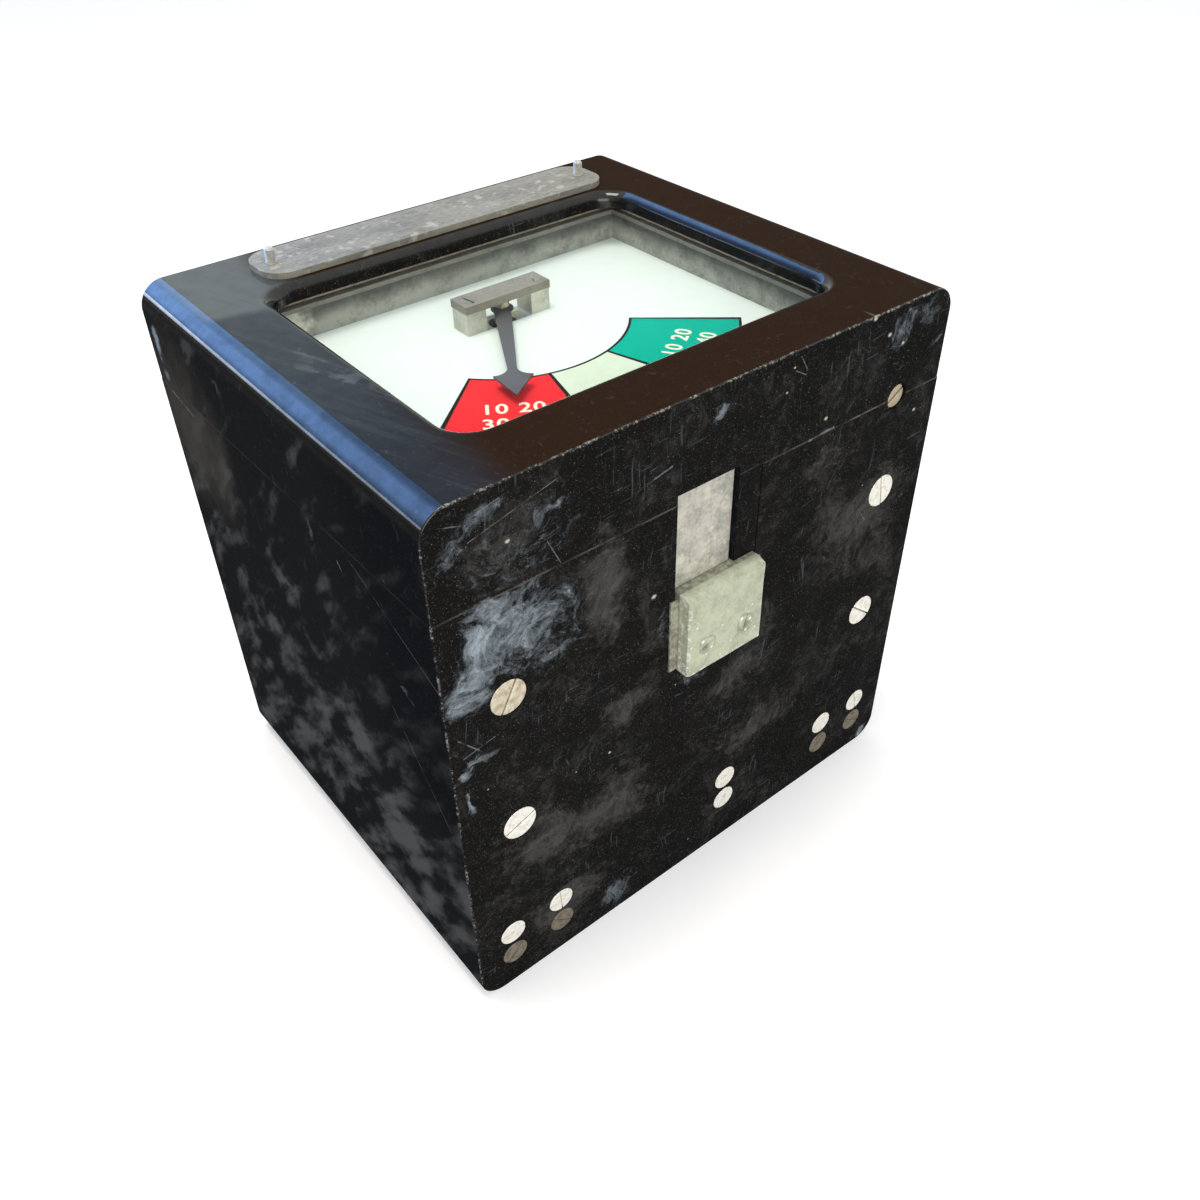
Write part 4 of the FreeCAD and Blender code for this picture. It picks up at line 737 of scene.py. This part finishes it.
def make_materials(polish, dust):
    for make in (make_patch_group, make_stroke_group, make_speck_group, make_hair_group, make_marble_group,
                 make_glass, make_screw_face, make_surround, make_keeper_paint, make_winding):
        make()
    make_phenolic(polish, dust)
    dull_metal("brass", (0.60, 0.53, 0.36), (0.33, 0.27, 0.17), 1.0, 0.42)
    dull_metal("nickel", (0.60, 0.58, 0.49), (0.38, 0.35, 0.28), 0.7, 0.42)
    dull_metal("bridge bar", (0.26, 0.23, 0.18), (0.17, 0.15, 0.12), 0.4, 0.45, 0.3)
    dull_metal("strip steel", (0.66, 0.64, 0.54), (0.26, 0.26, 0.24), 0.5, 0.5, 0.35, (1, 1, 1), (0.78, 0.74, 0.60))
    dull_metal("steel", (0.50, 0.50, 0.49), (0.30, 0.29, 0.27), 1.0, 0.35)
    dull_metal("dull stud", (0.52, 0.51, 0.46), (0.30, 0.29, 0.26), 0.4, 0.6)
    dull_metal("soft iron", (0.20, 0.20, 0.21), (0.10, 0.10, 0.10), 0.9, 0.5)
    dull_metal("carrier metal", (0.25, 0.235, 0.185), (0.12, 0.115, 0.10), 0.3, 0.6, 0.5, (0.3, 1, 1),
               (0.40, 0.385, 0.31))
    painted("white enamel", (0.78, 0.83, 0.80), (0.58, 0.58, 0.48), 0.35, 0.12, 0.05, shine=0.0)
    painted("pointer paint", (0.088, 0.085, 0.090), (0.035, 0.033, 0.032), 0.45, 0.5, 0.1)
    painted("retainer paint", (0.20, 0.19, 0.165), (0.10, 0.09, 0.08), 0.55, 0.6, 0.2)
    painted("cork", (0.20, 0.16, 0.11), (0.07, 0.06, 0.05), 0.85, 0.8, 0.6, 0.5)
    painted("fibre", (0.14, 0.035, 0.022), (0.06, 0.018, 0.012), 0.5, 0.6, 0.2)
    painted("board", (0.17, 0.085, 0.042), (0.08, 0.04, 0.02), 0.5, 0.6, 0.2)
    painted("red enamel", (0.90, 0.034, 0.042), (0.55, 0.014, 0.018), 0.3, 0.25, 0.05, shine=0.0)
    painted("green enamel", (0.0, 0.42, 0.31), (0.0, 0.27, 0.20), 0.3, 0.25, 0.05, shine=0.0)
    painted("pale enamel", (0.66, 0.74, 0.60), (0.46, 0.50, 0.38), 0.3, 0.2, 0.05, shine=0.0)
    painted("black line", (0.016, 0.016, 0.015), (0.04, 0.04, 0.035), 0.4, 0.3, 0.05, shine=0.0)
    painted("cream figures", (0.88, 0.84, 0.68), (0.62, 0.56, 0.42), 0.4, 0.25, 0.05, shine=0.05)


def frame_cutter(name, low, high, radius, segments=10):
    """A box with its upright edges rounded, for cutting."""
    return round_edges(block(name, low, high), lambda e: runs(e, 2), radius, segments)


def window_cutter(lip):
    """The window's opening with the lip's rounding drawn outwards in rings."""
    centre = (WINDOW_LOW + WINDOW_HIGH) / 2
    half_tall = (WINDOW_HIGH - WINDOW_LOW) / 2
    grown, level, steps = 0.0, 190.0, 10
    tool = sheet("window_cutter", (-WINDOW_SIDE, WINDOW_LOW), (WINDOW_SIDE, WINDOW_HIGH), level)
    enter(tool)
    bpy.ops.mesh.bevel(offset=WINDOW_CORNER * MM, segments=12, affect="VERTICES")
    bpy.ops.mesh.select_all(action="SELECT")
    angles = [math.pi / 2 * index / steps for index in range(steps + 1)]
    rings = [(lip * (1 - math.cos(angle)), DEEP - lip + lip * math.sin(angle)) for angle in angles]
    for offset, height in rings + [(lip + 0.2, DEEP + 3.0)]:
        draw_out(height - level)
        if offset > grown:
            share_x = (WINDOW_SIDE + offset) / (WINDOW_SIDE + grown)
            share_y = (half_tall + offset) / (half_tall + grown)
            bpy.ops.transform.resize(value=(share_x, share_y, 1), center_override=(0, centre * MM, height * MM))
        grown, level = offset, height
    leave_outward()
    return tool


def rod(name, radius, low, high, at, towards="+z", sides=48):
    return place(turned(name, [(radius, low), (radius, high)], sides), at, towards)


def sunk_hole(name, head, shank, at, towards):
    """A countersunk hole, drawn from outside the wall inwards."""
    depth = head - shank
    return place(turned(name, [(shank, -12.0), (shank, -0.6 - depth), (head, -0.6), (head, 2.0)], 48), at, towards)


def seam_cutter():
    """The round recess on the seam, half in the base and half in the cover."""
    return rod("seam_hole", 4.6, -12, 3, (SCREW_SIDE, -TALL, SEAM), "-y")


def board_places():
    """Places of the terminal board's screws on the underside wall."""
    places = []
    for x in (-87.0, -66.5, 66.5, 87.0):
        places += [(x, 26.5), (x, 15.1)]
    return places + [(12.0, 33.0), (12.0, 21.6)]


def slotted_screw(name, head, shank, length, slot_wide, slot_deep, sides=48):
    """A countersunk slotted screw with its head's face at level 0 and its shank downwards."""
    depth = head - shank
    screw = turned(name, [(shank * 0.7, -length), (shank, -length + 0.8), (shank, -0.8 - depth), (head, -0.8),
                          (head, -0.25), (head - 0.1, -0.08), (head - 0.3, 0.0)], sides)
    cut(screw, block("slot", (-head - 1, -slot_wide / 2, -slot_deep), (head + 1, slot_wide / 2, 1)))
    return soften(screw, 0.12, 2, 50.0)


def sector(name, inner, outer, start, end, thick):
    """A slice of a flat ring on the dial about the pivot, between two angles from straight down."""
    piece = sheet(name, (0, -outer), (1, -inner), DIAL_TOP)
    choose_edges(piece, lambda e: runs(e, 1) and middle(e).x > 0.5)
    bpy.ops.mesh.delete(type="VERT")
    bpy.ops.mesh.select_all(action="SELECT")
    bpy.ops.transform.rotate(value=math.radians(start), orient_axis="Z", center_override=(0, 0, 0))
    steps = max(4, int(abs(end - start) * 1.2))
    bpy.ops.mesh.spin(steps=steps, angle=math.radians(end - start), center=(0, 0, 0), axis=(0, 0, 1))
    bpy.ops.mesh.select_all(action="SELECT")
    bpy.ops.mesh.remove_doubles(threshold=0.000001)
    bpy.ops.mesh.select_all(action="SELECT")
    draw_out(thick)
    bpy.ops.mesh.select_all(action="SELECT")
    bpy.ops.transform.translate(value=(0, PIVOT * MM, 0))
    leave_outward()
    return piece


def figures(name, words, radius, angle, size, low, high):
    """Raised figures set across the radius, their foot towards the rim, angle positive to the left."""
    deselect()
    bpy.ops.object.text_add()
    text = bpy.context.object.data
    text.body = words
    text.size = size * MM / 0.7
    text.align_x = "CENTER"
    text.extrude = (high - low) / 2 * MM
    text.offset = 0.00015
    text.space_character = 1.1
    text.resolution_u = 4
    bpy.ops.object.convert(target="MESH")
    piece = named(name)
    way = math.radians(angle)
    piece.rotation_euler = (0, 0, -way)
    foot = radius + size / 2
    piece.location = (-foot * math.sin(way) * MM, (PIVOT - foot * math.cos(way)) * MM, (low + high) / 2 * MM)
    return settle(piece)


class IndicatorPiece:
    """What the operators share."""

    bl_options = {"REGISTER", "UNDO"}


class INDICATOR_OT_finishes(IndicatorPiece, bpy.types.Operator):
    """Makes the materials and gives them to the CAD pieces that keep their own shape"""

    bl_idname = "indicator.finishes"
    bl_label = "Finishes"

    def execute(self, context):
        look = context.scene.indicator_finish
        make_materials(look.polish, look.dust)
        other_names = {"painted_casting": "keeper paint", "retainer_metal": "retainer paint"}
        for part in frame["record"]["subparts"]:
            node = frame["nodes"][part["node"]]
            slot = part["material_slot"]
            material = bpy.data.materials["finish " + other_names.get(slot, slot.replace("_", " "))]
            if not node.material_slots:
                node.data.materials.append(material)
            for holder in node.material_slots:
                holder.material = material
        return {"FINISHED"}


class INDICATOR_OT_base(IndicatorPiece, bpy.types.Operator):
    """Adds the base moulding: outer box, hollow, hasp channel, screw and cable holes"""

    bl_idname = "indicator.base"
    bl_label = "Base moulding"

    def execute(self, context):
        sizes = context.scene.indicator_sizes
        base = block("case_base", (-WIDE, -TALL, 0), (WIDE, TALL, SEAM))
        round_edges(base, lambda e: runs(e, 1) and middle(e).z < 1, sizes.long_edge, 12)
        round_edges(base, lambda e: runs(e, 2) and abs(middle(e).x) > WIDE - 1, sizes.rim, 3)
        tools = [frame_cutter("hollow", (-94.5, -79.5, 8), (94.5, 79.5, SEAM + 5), 4.0, 5),
                 block("channel", (-CHANNEL_SIDE, -TALL - 3, CHANNEL_LOW), (CHANNEL_SIDE, CHANNEL_FLOOR, SEAM + 3))]
        for x in (-SCREW_SIDE, SCREW_SIDE):
            for z in SCREW_LEVELS:
                tools.append(sunk_hole("wall_hole", 6.3, 3.3, (x, -TALL, z), "-y"))
                tools.append(sunk_hole("wall_hole", 6.3, 3.3, (x, TALL, z), "+y"))
        for x, z in board_places():
            tools.append(sunk_hole("board_hole", 5.1, 2.5, (x, -TALL, z), "-y"))
        for x in (-70, 70):
            for y in (-58, 58):
                tools.append(rod("fixing_hole", 3.3, -3, 12, (x, y, 0), sides=32))
        for x in (-34, 34):
            tools.append(rod("cable_hole", 8.0, -3, 12, (x, 40, 0)))
        tools.append(seam_cutter())
        for x in KEEPER_SCREWS:
            tools.append(rod("keeper_pilot", 1.75, -4, 12, (x, CHANNEL_FLOOR, KEEPER_SCREW_LEVEL), "+y", 24))
        cut(base, *tools)
        soften(base, sizes.parting, 2, 50.0)
        finish(base, "case", "phenolic", "phenolic", "base_shell")
        return {"FINISHED"}


class INDICATOR_OT_cover(IndicatorPiece, bpy.types.Operator):
    """Adds the cover moulding: rounded long edges, window with a rolled lip, glass rebate and hasp pocket"""

    bl_idname = "indicator.cover"
    bl_label = "Cover moulding"

    def execute(self, context):
        sizes = context.scene.indicator_sizes
        cover = block("case_cover", (-WIDE, -TALL, SEAM), (WIDE, TALL, DEEP))
        round_edges(cover, lambda e: runs(e, 1) and middle(e).z > DEEP - 1, sizes.long_edge, 14)
        round_edges(cover, lambda e: abs(middle(e).y) > TALL - 0.1 and middle(e).z > SEAM + 1, sizes.rim, 3)
        tools = [frame_cutter("hollow", (-94.9, -79.9, SEAM - 5), (94.9, 79.9, 196.2), 4.0, 5),
                 block("rebate", (-WINDOW_SIDE - 4.3, WINDOW_LOW - 4.3, 190),
                       (WINDOW_SIDE + 4.3, WINDOW_HIGH + 4.3, 199.3)),
                 window_cutter(sizes.lip),
                 block("pocket", (-CHANNEL_SIDE, -84.5, SEAM - 3), (POCKET_RIGHT, CHANNEL_FLOOR, 194.6)),
                 block("notch", (-CHANNEL_SIDE, -TALL - 3, SEAM - 3), (POCKET_RIGHT, -84.3, SEAM + 3.2))]
        tools += [rod("stud_hole", 2.1, 190, 210, (x, STUD_LINE, 0), sides=24) for x, _ in STUDS]
        tools.append(seam_cutter())
        cut(cover, *tools)
        soften(cover, sizes.parting, 2, 50.0)
        finish(cover, "cover", "phenolic", "phenolic", "cover_frame")
        return {"FINISHED"}


class INDICATOR_OT_screws(IndicatorPiece, bpy.types.Operator):
    """Adds the slotted screws of the walls, the terminal board and the seam"""

    bl_idname = "indicator.screws"
    bl_label = "Slotted screws"

    def execute(self, context):
        pattern = slotted_screw("wall_screw", 6.2, 3.175, 17.0, 0.7, 0.8)
        low, high = SCREW_LEVELS
        turns = {(-SCREW_SIDE, high): 63, (SCREW_SIDE, high): 100, (-SCREW_SIDE, low): 20, (SCREW_SIDE, low): 140}
        for (x, z), spin in turns.items():
            label = ("left" if x < 0 else "right") + ("_high" if z == high else "_low")
            for wall, y, towards, more in (("underside", -TALL, "-y", 0), ("top_wall", TALL, "+y", 40)):
                screw = place(copied(pattern, f"{wall}_screw_{label}"), (x, y, z), towards, spin + more)
                finish(screw, "case", "brass", "screw face", wall + "_screws")
        discard(pattern)
        pattern = slotted_screw("board_screw", 5.0, 2.4, 13.0, 0.5, 0.5, 40)
        for index, (x, z) in enumerate(board_places()):
            screw = place(copied(pattern, f"board_screw_{index}"), (x, -TALL, z), "-y", index * 47 % 180)
            finish(screw, "case", "brass", "screw face", "terminal_board_screws")
        discard(pattern)
        rings = [(1.8, -15.0), (2.4, -14.2), (2.4, -6.0), (4.4, -6.0), (4.4, -0.4), (4.0, 0.0)]
        seam = turned("seam_screw_head", rings)
        cut(seam, block("slot", (-6, -0.5, -1.4), (6, 0.5, 1)))
        soften(seam, 0.12, 2, 50.0)
        place(seam, (SCREW_SIDE, -TALL + 1.0, SEAM), "-y", 30)
        finish(seam, "case", "brass", "screw face", "seam_screw")
        return {"FINISHED"}


class INDICATOR_OT_dial(IndicatorPiece, bpy.types.Operator):
    """Adds the dial plate with its coloured segments, outlines and figures"""

    bl_idname = "indicator.dial"
    bl_label = "Dial"

    def execute(self, context):
        plate = rounded_copy("dial_plate", "dial_sheet", 0.25)
        finish(plate, "case", "white_enamel", "white enamel", "dial_plate")
        back = sector("segment_outline", 44.0, 83.0, -49.6, 49.6, 0.03)
        finish(back, "case", "white_enamel", "black line")
        for colour, start, end in (("red", 16.2, 48.4), ("green", -48.4, -16.2), ("pale", -14.8, 14.8)):
            piece = sector("segment_" + colour, 45.0, 82.0, start, end, 0.07)
            finish(piece, "case", "white_enamel", colour + " enamel")
        for colour, angle in (("red", 32.2), ("green", -32.2)):
            for label, words, radius in (("upper", "10 20", 62.9), ("lower", "30 40", 71.6)):
                piece = figures(f"figures_{colour}_{label}", words, radius, angle, FIGURE_SIZE,
                                DIAL_TOP + 0.06, DIAL_TOP + 0.1)
                finish(piece, "case", "white_enamel", "cream figures")
        return {"FINISHED"}


class INDICATOR_OT_bridge(IndicatorPiece, bpy.types.Operator):
    """Adds the plated bridge, its screws and the spade pointer below it"""

    bl_idname = "indicator.bridge"
    bl_label = "Bridge and pointer"

    def execute(self, context):
        for node, name, radius, look in (("bridge_bar", "bridge_top", 0.7, "bridge bar"),
                                         ("bridge_leg_left", "bridge_foot_left", 0.35, "nickel"),
                                         ("bridge_leg_right", "bridge_foot_right", 0.35, "nickel"),
                                         ("bridge_screws", "bridge_heads", 0.12, "bridge bar")):
            finish(rounded_copy(node, name, radius, 3), "case", "nickel", look, node)
        blade = rounded_copy("pointer_blade", "pointer_spade", 0.12)
        finish(blade, "pointer", "pointer_paint", "pointer paint", "pointer_blade")
        return {"FINISHED"}


class INDICATOR_OT_hasp(IndicatorPiece, bpy.types.Operator):
    """Adds the hasp strip, the filler beside it and the rough painted keeper"""

    bl_idname = "indicator.hasp"
    bl_label = "Hasp and keeper"

    def execute(self, context):
        strip = block("hasp_bar", (-17.2, -84.3, 123.5), (7.5, -82.7, 194.4))
        round_edges(strip, lambda e: runs(e, 1) and middle(e).z > 190, 0.8, 3)
        soften(strip, 0.2)
        finish(strip, "cover", "strip_steel", "strip steel", "hasp_strip")
        filler = soften(block("channel_strip", (7.9, -86.3, 138.5), (CHANNEL_SIDE, CHANNEL_FLOOR, 171.2)), 0.3)
        finish(filler, "case", "phenolic", "phenolic", "channel_filler")
        keeper = rounded_copy("keeper_block", "keeper_casting", 0.5)
        enter(keeper)
        bpy.ops.mesh.quads_convert_to_tris()
        bpy.ops.mesh.subdivide(number_cuts=3)
        leave()
        for corner in keeper.data.vertices:
            spot = corner.co / MM
            if spot.y < -84.7:
                lump = noise.noise(spot * 0.35) * 0.22 + noise.noise(spot * 1.1) * 0.10
                corner.co.y += max(0.0, lump + 0.12) * MM
        smooth(keeper, 50.0)
        finish(keeper, "case", "painted_casting", "keeper paint", "keeper_block")
        pattern = slotted_screw("keeper_screw", 3.24, 1.6, 15.0, 0.8, 0.3, 32)
        for x, label, spin in zip(KEEPER_SCREWS, ("left", "right"), (20, 75)):
            at = (x, KEEPER_FACE + 0.05, KEEPER_SCREW_LEVEL)
            screw = place(copied(pattern, "keeper_screw_" + label), at, "-y", spin)
            finish(screw, "case", "painted_casting", "keeper paint", "keeper_screws")
        discard(pattern)
        return {"FINISHED"}


class INDICATOR_OT_carrier(IndicatorPiece, bpy.types.Operator):
    """Adds the name plate's carrier and its two threaded studs"""

    bl_idname = "indicator.carrier"
    bl_label = "Carrier and studs"

    def execute(self, context):
        carrier = rounded_copy("name_plate_carrier", "carrier_plate", 0.6, 3)
        finish(carrier, "cover", "carrier_metal", "carrier metal", "name_plate_carrier")
        rings = [(2.0, 192.0), (2.0, 208.0), (1.35, 208.0)]
        level = 208.0
        while level < 212.3:
            rings += [(1.7, level + 0.25), (1.35, level + 0.5)]
            level += 0.5
        rings += [(1.35, 212.7), (1.1, 212.9)]
        pattern = smooth(turned("stud", rings, 28), 60.0)
        for x, label in STUDS:
            stud = place(copied(pattern, "plate_stud_" + label), (x, STUD_LINE, 0))
            finish(stud, "cover", "steel", "dull stud", "carrier_studs")
        discard(pattern)
        return {"FINISHED"}


def make_floor():
    """A pale floor, a little brighter to the camera than to what it lights."""
    deselect()
    bpy.ops.mesh.primitive_plane_add(size=30, location=(0, 0, -0.0002))
    floor = settle(named("floor"))
    material = bpy.data.materials.new("floor paper")
    material.use_nodes = True
    tree = material.node_tree
    inputs = tree.nodes["Principled BSDF"].inputs
    for label, value in (("Roughness", 0.9), ("Specular IOR Level", 0.1), ("Emission Color", (1, 1, 1, 1))):
        inputs[label].default_value = value
    seen = seen_by(tree, "Camera", "Transmission")
    blend(seen, (0.45, 0.45, 0.46), (0.98, 0.97, 0.96)).into(inputs["Base Color"])
    (seen * 0.12).into(inputs["Emission Strength"])
    floor.data.materials.append(material)


def make_world():
    """A white background with a cooler, weaker fill for matt surfaces."""
    world = bpy.data.worlds.new("studio")
    bpy.context.scene.world = world
    world.use_nodes = True
    tree = world.node_tree
    inputs = tree.nodes["Background"].inputs
    seen = seen_by(tree, "Camera", "Glossy", "Transmission")
    blend(seen, (0.80, 0.82, 0.86), (1, 1, 1)).into(inputs["Color"])
    inputs["Strength"].default_value = 1.0


def lamp(name, at, towards, size, power, colour, card_height=None):
    """Adds a square lamp, or a card of a given height that only shows in gloss."""
    deselect()
    bpy.ops.object.light_add(type="AREA", location=at)
    light = bpy.context.object
    light.name = name
    light.data.shape = "SQUARE" if card_height is None else "RECTANGLE"
    light.data.size = size
    if card_height is not None:
        light.data.size_y = card_height
    light.data.energy = power
    light.data.color = colour
    light.rotation_euler = (Vector(towards) - Vector(at)).to_track_quat("-Z", "Y").to_euler()
    light.visible_camera = False
    light.visible_diffuse = card_height is None


def make_lamps():
    """A warm lamp overhead, a soft one in front, and two cards that stand for the sky in the polished edges."""
    lamp("key", (-0.10, 0.10, 1.20), (0, 0, 0.15), 0.4, 6.7, (1.0, 0.95, 0.86))
    lamp("blue_card", (-0.38, 0.90, 0.80), (0, 0, 0.2), 1.2, 22.0, (0.10, 0.38, 1.0), 1.1)
    lamp("pale_card", (-0.75, 1.35, 0.42), (0, 0, 0.2), 1.3, 9.0, (0.82, 0.92, 1.0), 0.14)
    lamp("soft_fill", (-0.35, -0.95, 0.5), (0, 0, 0.1), 0.8, 6.5, (1.0, 0.98, 0.95))


def make_camera():
    """The photograph's camera, solved from the case's straight edges."""
    deselect()
    bpy.ops.object.camera_add()
    camera = named("photo_camera")
    location = Vector((-0.1997, -0.2798, 0.3558))
    aim_point = Vector((0.00775, -0.01996, 0.08670))
    roll = Quaternion((0, 0, 1), math.radians(-0.96))
    camera.rotation_mode = "QUATERNION"
    camera.rotation_quaternion = (aim_point - location).to_track_quat("-Z", "Y") @ roll
    camera.location = location
    camera.data.lens = 33.46
    camera.data.sensor_width = 36
    camera.data.shift_x = -0.003
    camera.data.shift_y = -0.0102
    camera.data.clip_start = 0.01
    bpy.context.scene.camera = camera
    bpy.context.scene.view_settings.view_transform = "Standard"


class INDICATOR_OT_stage(IndicatorPiece, bpy.types.Operator):
    """Sets up the floor, the lamps, the world and the camera"""

    bl_idname = "indicator.stage"
    bl_label = "Studio"

    def execute(self, context):
        make_floor()
        make_world()
        make_lamps()
        make_camera()
        return {"FINISHED"}


OPERATORS = (
    INDICATOR_OT_finishes, INDICATOR_OT_base, INDICATOR_OT_cover, INDICATOR_OT_screws, INDICATOR_OT_dial,
    INDICATOR_OT_bridge, INDICATOR_OT_hasp, INDICATOR_OT_carrier, INDICATOR_OT_stage,
)


class INDICATOR_PT_panel(bpy.types.Panel):
    """Lists the indicator's pieces in the sidebar"""

    bl_label = "Block indicator"
    bl_idname = "INDICATOR_PT_panel"
    bl_space_type = "VIEW_3D"
    bl_region_type = "UI"
    bl_category = "Block indicator"

    def draw(self, context):
        column = self.layout.column()
        for owner in (context.scene.indicator_sizes, context.scene.indicator_finish):
            for label in owner.bl_rna.properties.keys():
                if label not in ("rna_type", "name"):
                    column.prop(owner, label)
        for item in OPERATORS:
            column.operator(item.bl_idname)


CLASSES = (IndicatorSizes, IndicatorFinish, *OPERATORS, INDICATOR_PT_panel)


def register():
    for item in CLASSES:
        bpy.utils.register_class(item)
    bpy.types.Scene.indicator_sizes = bpy.props.PointerProperty(type=IndicatorSizes)
    bpy.types.Scene.indicator_finish = bpy.props.PointerProperty(type=IndicatorFinish)


def unregister():
    del bpy.types.Scene.indicator_finish
    del bpy.types.Scene.indicator_sizes
    for item in reversed(CLASSES):
        bpy.utils.unregister_class(item)


def main():
    register()
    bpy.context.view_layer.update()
    bpy.ops.indicator.finishes()
    bpy.ops.indicator.base()
    bpy.ops.indicator.cover()
    bpy.ops.indicator.screws()
    bpy.ops.indicator.dial()
    bpy.ops.indicator.bridge()
    bpy.ops.indicator.hasp()
    bpy.ops.indicator.carrier()
    bpy.ops.indicator.stage()


if __name__ == "__main__":
    main()
